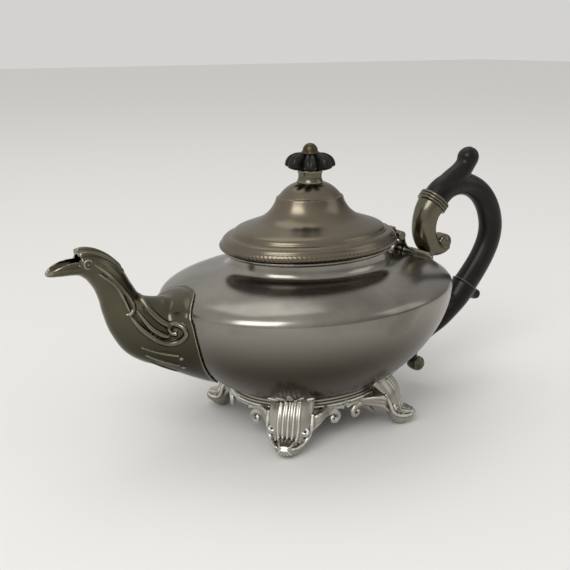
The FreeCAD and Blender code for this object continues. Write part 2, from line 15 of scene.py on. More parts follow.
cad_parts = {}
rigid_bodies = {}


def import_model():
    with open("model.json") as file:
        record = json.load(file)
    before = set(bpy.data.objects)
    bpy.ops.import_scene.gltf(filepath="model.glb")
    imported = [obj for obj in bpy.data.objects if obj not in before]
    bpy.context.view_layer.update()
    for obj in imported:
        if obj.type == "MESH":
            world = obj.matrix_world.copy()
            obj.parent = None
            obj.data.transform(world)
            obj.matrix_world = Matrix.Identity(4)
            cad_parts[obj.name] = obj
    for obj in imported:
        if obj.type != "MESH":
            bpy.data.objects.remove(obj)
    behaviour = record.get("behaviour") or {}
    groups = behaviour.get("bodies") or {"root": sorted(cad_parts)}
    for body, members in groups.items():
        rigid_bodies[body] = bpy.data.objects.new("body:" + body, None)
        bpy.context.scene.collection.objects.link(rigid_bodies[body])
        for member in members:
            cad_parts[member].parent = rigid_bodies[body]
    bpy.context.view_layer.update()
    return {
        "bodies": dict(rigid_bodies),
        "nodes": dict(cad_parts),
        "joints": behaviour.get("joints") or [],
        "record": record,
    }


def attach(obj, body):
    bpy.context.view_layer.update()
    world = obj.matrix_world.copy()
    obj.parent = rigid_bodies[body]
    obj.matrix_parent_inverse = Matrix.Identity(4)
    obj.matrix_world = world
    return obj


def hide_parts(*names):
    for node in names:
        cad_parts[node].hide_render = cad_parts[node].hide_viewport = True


LOG = logging.getLogger("teapot")
MM = 0.001
OVAL = 0.80  # width of the body's plan over its length
SPIN = 160  # steps of the large spun pieces
WELD = 1e-6  # distance in metres within which points are joined
SLIVER = 0.02 * MM  # length under which an edge left by a cut is dissolved
THINNEST = 0.05  # least radius of a strand in millimetres

Mesh = bmesh.types.BMesh
Socket = bpy.types.NodeSocket
Pair = tuple[float, float]
Colour = tuple[float, float, float]
Station = tuple[float, float, float, float]
Surface = Callable[[float, float], Vector]


class Rides(Enum):
    """Bodies of the frame that a piece can move with."""

    POT = "pot"
    LID = "lid"


class Slot(Enum):
    """Material slots of the record."""

    BODY = "body_pewter"
    LID = "lid_pewter"
    SPOUT = "spout_metal"
    BASE = "base_metal"
    MOUNT = "mount_metal"
    DARK = "dark_metal"
    WOOD = "ebonised_wood"
    FINIAL = "finial_metal"


def smooth_runs(rows: Sequence[Sequence[float]], count: int) -> list[tuple[float, ...]]:
    """Sample a smooth curve through rows of numbers.

    Args:
        rows: The rows that the curve passes through.
        count: How many samples to take, ends included.

    Returns:
        The sampled rows.
    """
    last = len(rows) - 1
    samples = []
    for i in range(count):
        place = last * i / (count - 1)
        k = min(int(place), last - 1)
        t = place - k
        quad = [rows[max(k - 1, 0)], rows[k], rows[k + 1], rows[min(k + 2, last)]]
        row = []
        for a, b, c, d in zip(*quad):
            row.append(0.5 * (2 * b + (c - a) * t + (2 * a - 5 * b + 4 * c - d) * t * t
                              + (3 * b - a - 3 * c + d) * t ** 3))
        samples.append(tuple(row))
    return samples


def skin(surface: Surface, across: int, along: int, closed_ends: bool = True) -> Mesh:
    """Lay a grid over a surface that meets itself across its first direction.

    Args:
        surface: Gives a point in millimetres for two numbers from 0 to 1.
        across: Steps round the surface.
        along: Steps along the surface.
        closed_ends: Whether open ends are filled.

    Returns:
        The new mesh in metres.
    """
    bm = bmesh.new()
    bmesh.ops.create_grid(bm, x_segments=across, y_segments=along, size=1.0)
    for vert in bm.verts:
        vert.co = surface((vert.co.x + 1) / 2, (vert.co.y + 1) / 2) * MM
    bmesh.ops.remove_doubles(bm, verts=bm.verts, dist=WELD)
    if closed_ends:
        rims = [edge for edge in bm.edges if edge.is_boundary]
        if rims:
            bmesh.ops.holes_fill(bm, edges=rims, sides=0)
    bmesh.ops.recalc_face_normals(bm, faces=bm.faces)
    return bm


def turned(profile: Sequence[Pair], steps: int, oval: float = 1.0) -> Mesh:
    """Spin a closed profile about the upright axis.

    Args:
        profile: Points of (radius, height) in millimetres, in order round the section.
        steps: Steps of the spin.
        oval: Width over length of the finished plan.

    Returns:
        The new mesh in metres.
    """
    bm = bmesh.new()
    verts = [bm.verts.new((r * MM, 0, z * MM)) for r, z in profile]
    for a, b in zip(verts, verts[1:] + verts[:1]):
        bm.edges.new((a, b))
    bmesh.ops.spin(bm, geom=bm.verts[:] + bm.edges[:], cent=(0, 0, 0), axis=(0, 0, 1),
                   angle=2 * math.pi, steps=steps, use_merge=True)
    bmesh.ops.remove_doubles(bm, verts=bm.verts, dist=WELD)
    bmesh.ops.scale(bm, vec=(1, oval, 1), verts=bm.verts)
    bmesh.ops.recalc_face_normals(bm, faces=bm.faces)
    return bm


def tube(stations: Sequence[Station], across: int, count: int, y: float = 0.0) -> Mesh:
    """Make a limb that bends in an upright plane.

    Args:
        stations: Rows of (x, z, half height, half width) in millimetres.
        across: Steps round the limb.
        count: Samples along the limb.
        y: Distance of the plane from the pot's middle plane.

    Returns:
        The closed mesh.
    """
    rows = smooth_runs(stations, count)
    last = count - 1

    def point(u: float, w: float) -> Vector:
        """Point of the limb at a turn and a length.

        Args:
            u: Share of the way round.
            w: Share of the way along.

        Returns:
            The point in millimetres.
        """
        i = min(int(round(w * last)), last)
        x, z, high, wide = rows[i]
        x0, z0 = rows[max(i - 1, 0)][:2]
        x1, z1 = rows[min(i + 1, last)][:2]
        length = math.hypot(x1 - x0, z1 - z0) or 1.0
        angle = 2 * math.pi * u
        rise = high * math.cos(angle)
        return Vector((x - (z1 - z0) / length * rise, y + wide * math.sin(angle),
                       z + (x1 - x0) / length * rise))

    return skin(point, across, last)


def cord(rows: Sequence[Station], count: int, across: int, flat: float = 1.0,
         up: Vector = Vector((0, 0, 1))) -> Mesh:
    """Make a strand through rows of (x, y, z, radius) in millimetres.

    Args:
        rows: The places and radii that the strand passes through.
        count: Samples along the strand.
        across: Steps round the strand.
        flat: Height over width of its section.
        up: Direction of the flattened height.

    Returns:
        The closed mesh.
    """
    samples = smooth_runs(rows, count)
    points = [Vector(row[:3]) for row in samples]
    radii = [max(row[3], THINNEST) for row in samples]
    last = count - 1

    def point(u: float, w: float) -> Vector:
        """Point of the strand at a turn and a length.

        Args:
            u: Share of the way round.
            w: Share of the way along.

        Returns:
            The point in millimetres.
        """
        i = min(int(round(w * last)), last)
        run = (points[min(i + 1, last)] - points[max(i - 1, 0)]).normalized()
        side = run.cross(up)
        side = side.normalized() if side.length > 1e-6 else Vector((1, 0, 0))
        rise = side.cross(run)
        angle = 2 * math.pi * u
        return (points[i] + side * radii[i] * math.cos(angle)
                + rise * radii[i] * flat * math.sin(angle))

    return skin(point, across, last)


def spiral(start: float, turns: float, outer: float, inner: float, count: int) -> list[Pair]:
    """Points of a flat spiral about zero.

    Args:
        start: Angle of the first point in radians.
        turns: Turns of the spiral, negative to wind clockwise.
        outer: Radius at the first point.
        inner: Radius at the last point.
        count: How many points.

    Returns:
        Pairs of coordinates.
    """
    points = []
    for i in range(count):
        t = i / (count - 1)
        angle = start + 2 * math.pi * turns * t
        radius = outer + (inner - outer) * t
        points.append((radius * math.cos(angle), radius * math.sin(angle)))
    return points


def baked(name: str, bm: Mesh) -> bpy.types.Mesh:
    """Turn a working mesh into mesh data and free it.

    Args:
        name: Name of the data.
        bm: The working mesh.

    Returns:
        The mesh data.
    """
    mesh = bpy.data.meshes.new(name)
    bm.to_mesh(mesh)
    bm.free()
    return mesh


def placed(name: str, data: bpy.types.ID) -> bpy.types.Object:
    """Add an object to the scene.

    Args:
        name: Name of the object.
        data: What it shows.

    Returns:
        The object.
    """
    thing = bpy.data.objects.new(name, data)
    bpy.context.scene.collection.objects.link(thing)
    return thing


def discard(thing: bpy.types.Object) -> None:
    """Remove an object and its mesh.

    Args:
        thing: The object.
    """
    mesh = thing.data
    bpy.data.objects.remove(thing)
    bpy.data.meshes.remove(mesh)


def merge(parts: Sequence[Mesh]) -> Mesh:
    """Gather several meshes in the first one and free the rest.

    Args:
        parts: The meshes.

    Returns:
        The first mesh, with all of them.
    """
    whole = parts[0]
    for part in parts[1:]:
        spare = baked("gather", part)
        whole.from_mesh(spare)
        bpy.data.meshes.remove(spare)
    return whole


def evaluated(bm: Mesh, kind: str, **settings: object) -> Mesh:
    """Run a modifier over a mesh and keep the result.

    Args:
        bm: The mesh, which is freed.
        kind: Kind of modifier.
        settings: Its settings by name.

    Returns:
        The mesh after the modifier.
    """
    carrier = placed("passing", baked("passing", bm))
    modifier = carrier.modifiers.new("passing", kind)
    for name, value in settings.items():
        setattr(modifier, name, value)
    bpy.context.view_layer.update()
    graph = bpy.context.evaluated_depsgraph_get()
    result = bmesh.new()
    result.from_mesh(carrier.evaluated_get(graph).to_mesh())
    discard(carrier)
    return result


def cast(parts: Sequence[Mesh], grain: float, rounds: int = 2) -> Mesh:
    """Melt overlapping closed meshes into one skin, as a casting has.

    Args:
        parts: The closed meshes.
        grain: Voxel size in millimetres.
        rounds: Smoothing passes after the melt.

    Returns:
        The single mesh.
    """
    bm = evaluated(merge(parts), "REMESH", mode="VOXEL", voxel_size=grain * MM)
    bmesh.ops.remove_doubles(bm, verts=bm.verts, dist=0.25 * grain * MM)
    for _ in range(rounds):
        bmesh.ops.smooth_vert(bm, verts=bm.verts, factor=0.5, use_axis_x=True, use_axis_y=True,
                              use_axis_z=True)
    return bm


def carved(bm: Mesh, blank: Mesh) -> Mesh:
    """Cut one closed mesh out of another.

    Args:
        bm: The mesh to cut, which is freed.
        blank: The cutter, which is freed.

    Returns:
        What is left.
    """
    cutter = placed("blank", baked("blank", blank))
    result = evaluated(bm, "BOOLEAN", operation="DIFFERENCE", solver="MANIFOLD", object=cutter)
    bmesh.ops.dissolve_degenerate(result, edges=result.edges, dist=SLIVER)
    discard(cutter)
    return result


def trimmed(bm: Mesh, spot: Sequence[float], normal: Sequence[float], outer: bool = False) -> Mesh:
    """Cut a mesh off flat and close the cut.

    Args:
        bm: The mesh.
        spot: A point of the plane in metres.
        normal: Direction across the plane.
        outer: Whether the side that the direction points to is dropped, and not the other.

    Returns:
        The same mesh.
    """
    cut = bmesh.ops.bisect_plane(bm, geom=bm.verts[:] + bm.edges[:] + bm.faces[:], plane_co=spot,
                                 plane_no=normal, clear_inner=not outer, clear_outer=outer)
    rim = [edge for edge in cut["geom_cut"] if isinstance(edge, bmesh.types.BMEdge)]
    bmesh.ops.holes_fill(bm, edges=rim, sides=0)
    return bm


class NodeTools:
    """Short calls for building a node tree."""

    def __init__(self, tree: bpy.types.NodeTree) -> None:
        """Keep the tree that the calls add to."""
        self.tree = tree

    def fill(self, node: bpy.types.Node, inputs: dict[str | int, object]) -> None:
        """Link or set inputs of a node.

        Args:
            node: The node.
            inputs: A socket to link or a value to set, by input.
        """
        for key, value in inputs.items():
            if isinstance(value, Socket):
                self.tree.links.new(value, node.inputs[key])
            else:
                node.inputs[key].default_value = value

    def add(self, kind: str, inputs: dict[str | int, object] | None = None,
            **values: object) -> bpy.types.Node:
        """Add a node.

        Args:
            kind: Kind of node.
            inputs: Its inputs, as for fill.
            values: Its properties by name.

        Returns:
            The node.
        """
        node = self.tree.nodes.new(kind)
        for name, value in values.items():
            setattr(node, name, value)
        self.fill(node, inputs or {})
        return node

    def ramp(self, source: Socket, low: float | Socket, high: float | Socket,
             ends: Pair = (0.0, 1.0)) -> Socket:
        """Ease a value between two limits from one end to the other.

        Args:
            source: The value.
            low: Lower limit.
            high: Upper limit.
            ends: Results at the two limits.

        Returns:
            The eased value.
        """
        node = self.add("ShaderNodeMapRange", {
            "Value": source, "From Min": low, "From Max": high,
            "To Min": ends[0], "To Max": ends[1]}, interpolation_type="SMOOTHSTEP")
        return node.outputs["Result"]

    def spread(self, source: Socket, low: float, high: float) -> Socket:
        """Stretch a value of 0 to 1 between two limits."""
        return self.add("ShaderNodeMapRange", {
            "Value": source, "To Min": low, "To Max": high}).outputs["Result"]

    def mix(self, factor: Socket, a: Socket | Station, b: Socket | Station) -> Socket:
        """Mix two colours by a factor."""
        return self.add("ShaderNodeMix", {0: factor, 6: a, 7: b}, data_type="RGBA").outputs[2]

    def noise(self, scale: float, detail: float, stretch: Colour = (1, 1, 1)) -> Socket:
        """Noise on object coordinates.

        Args:
            scale: How fine it is.
            detail: Its octaves.
            stretch: Scale along each axis.

        Returns:
            The noise.
        """
        place = self.add("ShaderNodeTexCoord")
        mapping = self.add("ShaderNodeMapping", {
            "Vector": place.outputs["Object"], "Scale": stretch})
        return self.add("ShaderNodeTexNoise", {
            "Vector": mapping.outputs["Vector"], "Scale": scale, "Detail": detail}).outputs["Fac"]

    def math(self, operation: str, a: Socket, b: Socket | float) -> Socket:
        """Combine two values."""
        return self.add("ShaderNodeMath", {0: a, 1: b}, operation=operation).outputs[0]


class Effects:
    """Shader groups that the metals share."""

    def __init__(self) -> None:
        """Build the groups once."""
        self.patina_and_shade = self._patina_and_shade()
        self.relief = self._relief()
        self.marks = self._marks()

    @staticmethod
    def _group(name: str, colours: Sequence[str], floats: Sequence[str]
               ) -> tuple[NodeTools, dict[str, Socket]]:
        """Start a group with its inputs.

        Args:
            name: Name of the group.
            colours: Names of its colour inputs.
            floats: Names of its number inputs.

        Returns:
            The tools to fill the group, and the sockets of its inputs.
        """
        tree = bpy.data.node_groups.new(name, "ShaderNodeTree")
        for kind, labels in (("NodeSocketColor", colours), ("NodeSocketFloat", floats)):
            for label in labels:
                tree.interface.new_socket(label, in_out="INPUT", socket_type=kind)
        tools = NodeTools(tree)
        inside = tools.add("NodeGroupInput")
        return tools, {label: inside.outputs[label] for label in (*colours, *floats)}

    @staticmethod
    def _close(tools: NodeTools, results: dict[str, Socket], kind: str) -> bpy.types.NodeTree:
        """Give a group its outputs.

        Args:
            tools: The tools of the group.
            results: What goes to each output.
            kind: Kind of the outputs.

        Returns:
            The group.
        """
        for label in results:
            tools.tree.interface.new_socket(label, in_out="OUTPUT", socket_type=kind)
        tools.add("NodeGroupOutput", results)
        return tools.tree

    def _patina_and_shade(self) -> bpy.types.NodeTree:
        """Cloudy tarnish with small dark spots, and painted shade darker low on the piece.

        Returns:
            The group.
        """
        tools, given = self._group("patina_and_shade", ("Clean", "Tarnish_and_shade"), ("Low", "High", "Amount"))
        place = tools.add("ShaderNodeTexCoord")
        split = tools.add("ShaderNodeSeparateXYZ", {"Vector": place.outputs["Object"]})
        # Painted shade: this mask darkens the piece below the height High, fully below Low.
        depth = tools.ramp(split.outputs["Z"], given["Low"], given["High"], (1.0, 0.0))
        clouds = tools.ramp(tools.noise(22.0, 4.0), 0.36, 0.72)
        spots = tools.ramp(tools.noise(260.0, 2.0), 0.70, 0.78)
        both = tools.math("MAXIMUM", tools.math("MULTIPLY", clouds, 0.55), depth)
        both = tools.math("MAXIMUM", both, tools.math("MULTIPLY", spots, 0.35))
        tarnish_and_shade_mask = tools.math("MULTIPLY", both, given["Amount"])
        colour = tools.mix(tarnish_and_shade_mask, given["Clean"], given["Tarnish_and_shade"])
        return self._close(tools, {"Color": colour}, "NodeSocketColor")

    def _relief(self) -> bpy.types.NodeTree:
        """Painted shade in hollows, and edges brightened by rubbed wear and a painted highlight.

        Returns:
            The group.
        """
        tools, given = self._group("relief_shade_wear_and_highlight", ("Base", "Hollow_shade", "Edge_wear_and_highlight"), ("Reach",))
        shape = tools.add("ShaderNodeAttribute", attribute_name="shade_wear_and_highlight")
        bend = tools.math("MULTIPLY", shape.outputs["Fac"], given["Reach"])
        # Painted shade: hollows darken towards the hollow colour.
        hollow = tools.ramp(tools.math("MULTIPLY", bend, -1.0), 0.12, 1.0)
        # Edges brighten towards the edge colour: rubbed wear and a painted highlight.
        edge = tools.ramp(bend, 0.12, 1.0)
        colour = tools.mix(hollow, given["Base"], given["Hollow_shade"])
        colour = tools.mix(edge, colour, given["Edge_wear_and_highlight"])
        return self._close(tools, {"Color": colour}, "NodeSocketColor")

    def _marks(self) -> bpy.types.NodeTree:
        """Fine turning lines, scratches and soft dents as a height.

        Returns:
            The group.
        """
        tools, given = self._group("surface_marks", (), ("Lines", "Dents"))
        lines = tools.noise(90.0, 3.0, (0.25, 0.25, 14.0))
        dents = tools.noise(18.0, 1.0)
        rub = tools.noise(140.0, 5.0, (0.5, 0.5, 3.0))
        height = tools.math("ADD", tools.math("MULTIPLY", lines, given["Lines"]),
                            tools.math("MULTIPLY", dents, given["Dents"]))
        return self._close(tools, {"Height": height, "Rub": rub}, "NodeSocketFloat")


@dataclass(frozen=True)
class Finish:
    """What every finish has: a name and the limits of its roughness."""

    name: str
    rough: Pair

    def begin(self) -> tuple[bpy.types.Material, NodeTools, bpy.types.Node]:
        """Start a material.

        Returns:
            The material, its tools and its shader.
        """
        material = bpy.data.materials.new(self.name)
        material.use_nodes = True
        tree = material.node_tree
        return material, NodeTools(tree), tree.nodes["Principled BSDF"]

    def surface(self, tools: NodeTools, rub: Socket, height: Socket, strength: float,
                distance: float) -> dict[str, Socket]:
        """Roughness and bumps of the finish.

        Args:
            tools: The tools of the material.
            rub: What the roughness follows.
            height: What the bumps follow.
            strength: Strength of the bumps.
            distance: Height of the bumps in millimetres.

        Returns:
            Sockets for the shader's inputs.
        """
        bump = tools.add("ShaderNodeBump", {
            "Height": height, "Strength": strength, "Distance": distance * MM})
        return {"Roughness": tools.spread(rub, *self.rough), "Normal": bump.outputs["Normal"]}


@dataclass(frozen=True)
class Metal(Finish):
    """A pewter finish with its tarnish, painted shade, wear, painted highlights and surface marks.

    The painted shade low down thins out between the heights low and high, in millimetres.
    """

    clean: Colour
    tarnish_and_shade_colour: Colour
    # Colours of the painted shade in hollows and of edges brightened by wear and a painted
    # highlight.
    hollow: Colour
    edge: Colour
    low: float
    high: float
    amount: float
    reach: float
    lines: float
    dents: float

    def material(self, effects: Effects) -> bpy.types.Material:
        """Build the finish.

        Args:
            effects: The shared shader groups.

        Returns:
            The material.
        """
        material, tools, shader = self.begin()
        patina_and_shade = tools.add("ShaderNodeGroup", node_tree=effects.patina_and_shade)
        tools.fill(patina_and_shade, {
            "Clean": (*self.clean, 1), "Tarnish_and_shade": (*self.tarnish_and_shade_colour, 1), "Low": self.low * MM,
            "High": self.high * MM, "Amount": self.amount})
        relief = tools.add("ShaderNodeGroup", node_tree=effects.relief)
        tools.fill(relief, {
            "Base": patina_and_shade.outputs["Color"], "Hollow_shade": (*self.hollow, 1),
            "Edge_wear_and_highlight": (*self.edge, 1), "Reach": self.reach})
        marks = tools.add("ShaderNodeGroup", node_tree=effects.marks)
        tools.fill(marks, {"Lines": self.lines, "Dents": self.dents})
        tools.fill(shader, {
            "Metallic": 1.0, "Base Color": relief.outputs["Color"],
            **self.surface(tools, marks.outputs["Rub"], marks.outputs["Height"], 0.2, 0.4)})
        return material


@dataclass(frozen=True)
class Ebonised(Finish):
    """Black stained and polished wood."""

    black: Colour
    worn: Colour

    def material(self, effects: Effects) -> bpy.types.Material:
        """Build the finish.

        Args:
            effects: The shared shader groups, which the wood does without.

        Returns:
            The material.
        """
        material, tools, shader = self.begin()
        grain = tools.noise(60.0, 5.0, (1.0, 6.0, 1.0))
        colour = tools.mix(tools.ramp(grain, 0.45, 0.75), (*self.black, 1), (*self.worn, 1))
        tools.fill(shader, {
            "Specular IOR Level": 0.16, "Coat Roughness": 0.2, "Coat Weight": 0.08,
            "Base Color": colour,
            **self.surface(tools, tools.noise(120.0, 3.0), grain, 0.12, 0.3)})
        return material


# Name, roughness, colours clean, tarnished (also painted shade low down), in hollows (painted
# shade) and on edges (wear and painted highlight), then the heights between which the painted
# shade low down fades, the amount of tarnish and shade, the reach of the hollow shade and edge
# wear, turning lines and dents.
FINISHES: dict[Slot, Metal | Ebonised] = {
    # Body: the dark, warm tarnish colour also paints shade and a warm reflection on the lower
    # belly.
    Slot.BODY: Metal(
        "spun_pewter", (0.17, 0.27), (0.29, 0.275, 0.245), (0.046, 0.036, 0.024),
        (0.10, 0.09, 0.08), (0.36, 0.355, 0.34), 46, 84, 0.95, 0.0, 0.05, 0.45),
    Slot.LID: Metal(
        "lid_pewter", (0.20, 0.32), (0.155, 0.132, 0.098), (0.080, 0.066, 0.046),
        (0.03, 0.026, 0.02), (0.26, 0.235, 0.19), 60, 100, 0.7, 2.0, 0.05, 0.4),
    # Spout: the tarnish colour also paints shade on the lower part, so the top stays lighter.
    Slot.SPOUT: Metal(
        "spout_casting", (0.14, 0.25), (0.105, 0.097, 0.066), (0.020, 0.017, 0.010),
        (0.008, 0.007, 0.005), (0.34, 0.32, 0.24), 34, 100, 0.92, 6.5, 0.03, 0.4),
    Slot.BASE: Metal(
        "base_casting", (0.22, 0.38), (0.40, 0.385, 0.34), (0.20, 0.175, 0.125),
        (0.022, 0.019, 0.014), (0.72, 0.71, 0.67), -40, -10, 0.9, 9.0, 0.03, 0.5),
    Slot.MOUNT: Metal(
        "mount_casting", (0.16, 0.28), (0.14, 0.128, 0.092), (0.06, 0.054, 0.036),
        (0.02, 0.018, 0.014), (0.24, 0.225, 0.175), -40, -10, 0.8, 4.0, 0.03, 0.3),
    # Near-black copy of the mount metal: painted shade for the lower socket under the grip.
    Slot.DARK: Metal(
        "painted_shade_casting", (0.28, 0.42), (0.024, 0.023, 0.021), (0.012, 0.012, 0.011),
        (0.006, 0.006, 0.006), (0.10, 0.10, 0.09), -40, -10, 0.6, 6.0, 0.03, 0.3),
    Slot.WOOD: Ebonised(
        "ebonised_wood", (0.26, 0.40), (0.006, 0.0056, 0.005), (0.016, 0.014, 0.012)),
    Slot.FINIAL: Metal(
        "bronzed_button", (0.28, 0.42), (0.075, 0.060, 0.034), (0.03, 0.025, 0.015),
        (0.02, 0.016, 0.01), (0.16, 0.13, 0.08), -40, -10, 0.6, 4.0, 0.03, 0.3),
}


class Palette:
    """Finished materials by slot."""

    def __init__(self) -> None:
        """Build every finish once."""
        effects = Effects()
        self.by_slot = {slot: finish.material(effects) for slot, finish in FINISHES.items()}

    def paint_nodes(self, frame: dict) -> None:
        """Give every frame node the finish of its slot.

        Args:
            frame: The loaded frame.
        """
        for row in frame["record"]["subparts"]:
            piece = frame["nodes"][row["node"]]
            piece.data.materials.clear()
            piece.data.materials.append(self.by_slot[Slot(row["material_slot"])])


@dataclass
class SubAssembly:
    """A group of pieces that are built and dressed together."""

    palette: Palette

    RIDES = Rides.POT

    def settle(self, name: str, bm: Mesh, slot: Slot, *nodes: str) -> None:
        """Make a piece from a mesh and hand it to the frame.

        Args:
            name: Name of the piece.
            bm: Its mesh, which is freed.
            slot: Its finish.
            nodes: Frame nodes that it stands for.
        """
        # Bend of the skin, for painted shade in hollows and worn edges with a painted highlight.
        shade_wear_and_highlight = self.bends(bm)
        mesh = baked(name, bm)
        mesh.attributes.new("shade_wear_and_highlight", "FLOAT", "POINT").data.foreach_set("value", shade_wear_and_highlight)
        mesh.polygons.foreach_set("use_smooth", [True] * len(mesh.polygons))
        mesh.materials.append(self.palette.by_slot[slot])
        piece = placed(name, mesh)
        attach(piece, self.RIDES.value)
        if nodes:
            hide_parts(*nodes)
        LOG.info("%s: %d faces", name, len(mesh.polygons))

    @staticmethod
    def bends(bm: Mesh, rounds: int = 3) -> list[float]:
        """How far each vertex stands proud of its neighbours, evened out.

        Args:
            bm: The mesh.
            rounds: Passes of evening out.

        Returns:
            A number for each vertex, in edge lengths, below zero in hollows.
        """
        bm.normal_update()
        bm.verts.index_update()
        ring = [[edge.other_vert(vert).index for edge in vert.link_edges] for vert in bm.verts]
        spots = [vert.co.copy() for vert in bm.verts]
        values = []
        for vert, near in zip(bm.verts, ring):
            middle = sum((spots[i] for i in near), Vector()) / max(len(near), 1)
            length = sum((spots[i] - vert.co).length for i in near) / max(len(near), 1)
            values.append((vert.co - middle).dot(vert.normal) / max(length, 1e-6))
        for _ in range(rounds):
            values = [0.5 * value + 0.5 * sum(values[i] for i in near) / max(len(near), 1)
                      for value, near in zip(values, ring)]
        return values


@dataclass
class PotBody(SubAssembly):
    """Spun body with its neck and the rolled ring round the mouth."""

    radius: float = 85.0
    equator: float = 76.4
    bowl_drop: float = 64.35
    bowl_power: float = 1.81
    rise: float = 16.8
    shoulder_power: float = 2.15
    bottom: float = 25.2
    bottom_radius: float = 46.7
    neck_foot: float = 52.4
    neck_radius: float = 46.0
    neck_top: float = 98.0
    wall: float = 1.8
    hole_radius: float = 1.7

    # Points of (radius, height) in the hollow of the neck and round the mouth ring.
    HOLLOW = [(48.6, 91.6), (46.6, 94.0)]
    MOUTH = [(43.6, 98.0), (47.0, 98.0), (47.9, 98.5), (48.3, 99.2), (47.9, 99.9), (47.0, 100.3),
             (44.2, 100.3), (43.6, 99.8)]
    # Heights of the strainer's rows, and the places of the holes across each.
    STRAINER = ((52.0, (-4.0, 4.0)), (57.5, (-8.0, 0.0, 8.0)), (63.0, (-10.5, -3.5, 3.5, 10.5)),
                (68.5, (-8.0, 0.0, 8.0)))

    def arc(self, edge: float, power: float, height: float, count: int) -> list[Pair]:
        """Points of a fuller ellipse from the widest line to a smaller radius.

        Args:
            edge: Radius at the far end.
            power: Power of the ellipse.
            height: Height of the whole ellipse, below zero when it hangs.
            count: How many points.

        Returns:
            Points of (radius, height).
        """
        end = math.acos((edge / self.radius) ** (power / 2))
        points = []
        for i in range(count):
            t = end * i / (count - 1)
            points.append((self.radius * math.cos(t) ** (2 / power),
                           self.equator + height * math.sin(t) ** (2 / power)))
        return points

    @cached_property
    def shoulder(self) -> list[Pair]:
        """Outer points from the widest line up the neck.

        Returns:
            Points of (radius, height).
        """
        points = self.arc(self.neck_foot, self.shoulder_power, self.rise, 24)
        neck = smooth_runs([points[-3], points[-1], *self.HOLLOW,
                            (self.neck_radius, self.neck_top)], 24)
        return points + [row for row in neck if row[0] < points[-1][0] - 0.3]

    @cached_property
    def skin_rows(self) -> list[Pair]:
        """Outer points of the whole body from the bottom up."""
        bowl = self.arc(self.bottom_radius, self.bowl_power, -self.bowl_drop, 30)
        return bowl[::-1] + self.shoulder[1:]

    def radius_at(self, z: float) -> float:
        """Half length of the body at a height.

        Args:
            z: The height.

        Returns:
            The half length.
        """
        rows = self.skin_rows
        for (r0, z0), (r1, z1) in zip(rows, rows[1:]):
            if z0 <= z <= z1 and z1 > z0:
                return r0 + (r1 - r0) * (z - z0) / (z1 - z0)
        return rows[0][0] if z < rows[0][1] else rows[-1][0]

    def height_at(self, r: float) -> float:
        """Height of the shoulder at a half length.

        Args:
            r: The half length.

        Returns:
            The height.
        """
        rows = self.shoulder
        for (r0, z0), (r1, z1) in zip(rows, rows[1:]):
            if r1 <= r <= r0:
                return z0 + (z1 - z0) * (r0 - r) / max(r0 - r1, 1e-6)
        return rows[0][1]

    def build(self) -> None:
        """Make the body and its mouth ring."""
        outer = [(0.0, self.bottom)] + self.skin_rows
        inner = []
        for i, (r, z) in enumerate(outer):
            r0, z0 = outer[max(i - 1, 0)]
            r1, z1 = outer[min(i + 1, len(outer) - 1)]
            length = math.hypot(r1 - r0, z1 - z0)
            inner.append((max(r - self.wall * (z1 - z0) / length, 0.0),
                          z + self.wall * (r1 - r0) / length))
        inner[-1] = (self.neck_radius - self.wall, self.neck_top)
        bm = carved(turned(outer + inner[::-1], SPIN, OVAL), self.drill())
        self.settle("pot_body", bm, Slot.BODY, "lower_bowl", "shoulder")
        self.settle("mouth_ring", turned(self.MOUTH, SPIN, OVAL), Slot.BODY, "neck_ring")

    def drill(self) -> Mesh:
        """Rods that cut the strainer holes behind the spout.

        Returns:
            The rods in one mesh.
        """
        rods = bmesh.new()
        radius = self.hole_radius * MM
        across = Matrix.Rotation(math.pi / 2, 4, "Y")
        for z, row in self.STRAINER:
            for y in row:
                place = Matrix.Translation(Vector((-80, y, z)) * MM) @ across
                bmesh.ops.create_cone(rods, cap_ends=True, segments=20, radius1=radius,
                                      radius2=radius, depth=30 * MM, matrix=place)
        return rods

    def core(self, sink: float) -> Mesh:
        """Body filled solid, shrunk by a depth, to trim castings that sit on it.

        Args:
            sink: The depth.

        Returns:
            The solid.
        """
        rows = [(max(r - sink, 0.0), z) for r, z in self.skin_rows]
        floor = rows[0][1] + sink
        return turned([(0.0, floor), (rows[0][0], floor), *rows[1:], (0.0, rows[-1][1])],
                      SPIN, OVAL)

    def lifted(self, turn: float, z: float, lift: float) -> tuple[Vector, Vector]:
        """Point over the body's skin.

        Args:
            turn: Turn of the oval in radians.
            z: Height on the skin.
            lift: Distance off the skin.

        Returns:
            The point and the direction off the skin.
        """
        r = self.radius_at(z)
        slope = (self.radius_at(z + 0.2) - self.radius_at(z - 0.2)) / 0.4
        away = Vector((OVAL * math.cos(turn), math.sin(turn), -OVAL * slope)).normalized()
        return Vector((r * math.cos(turn), r * OVAL * math.sin(turn), z)) + away * lift, away


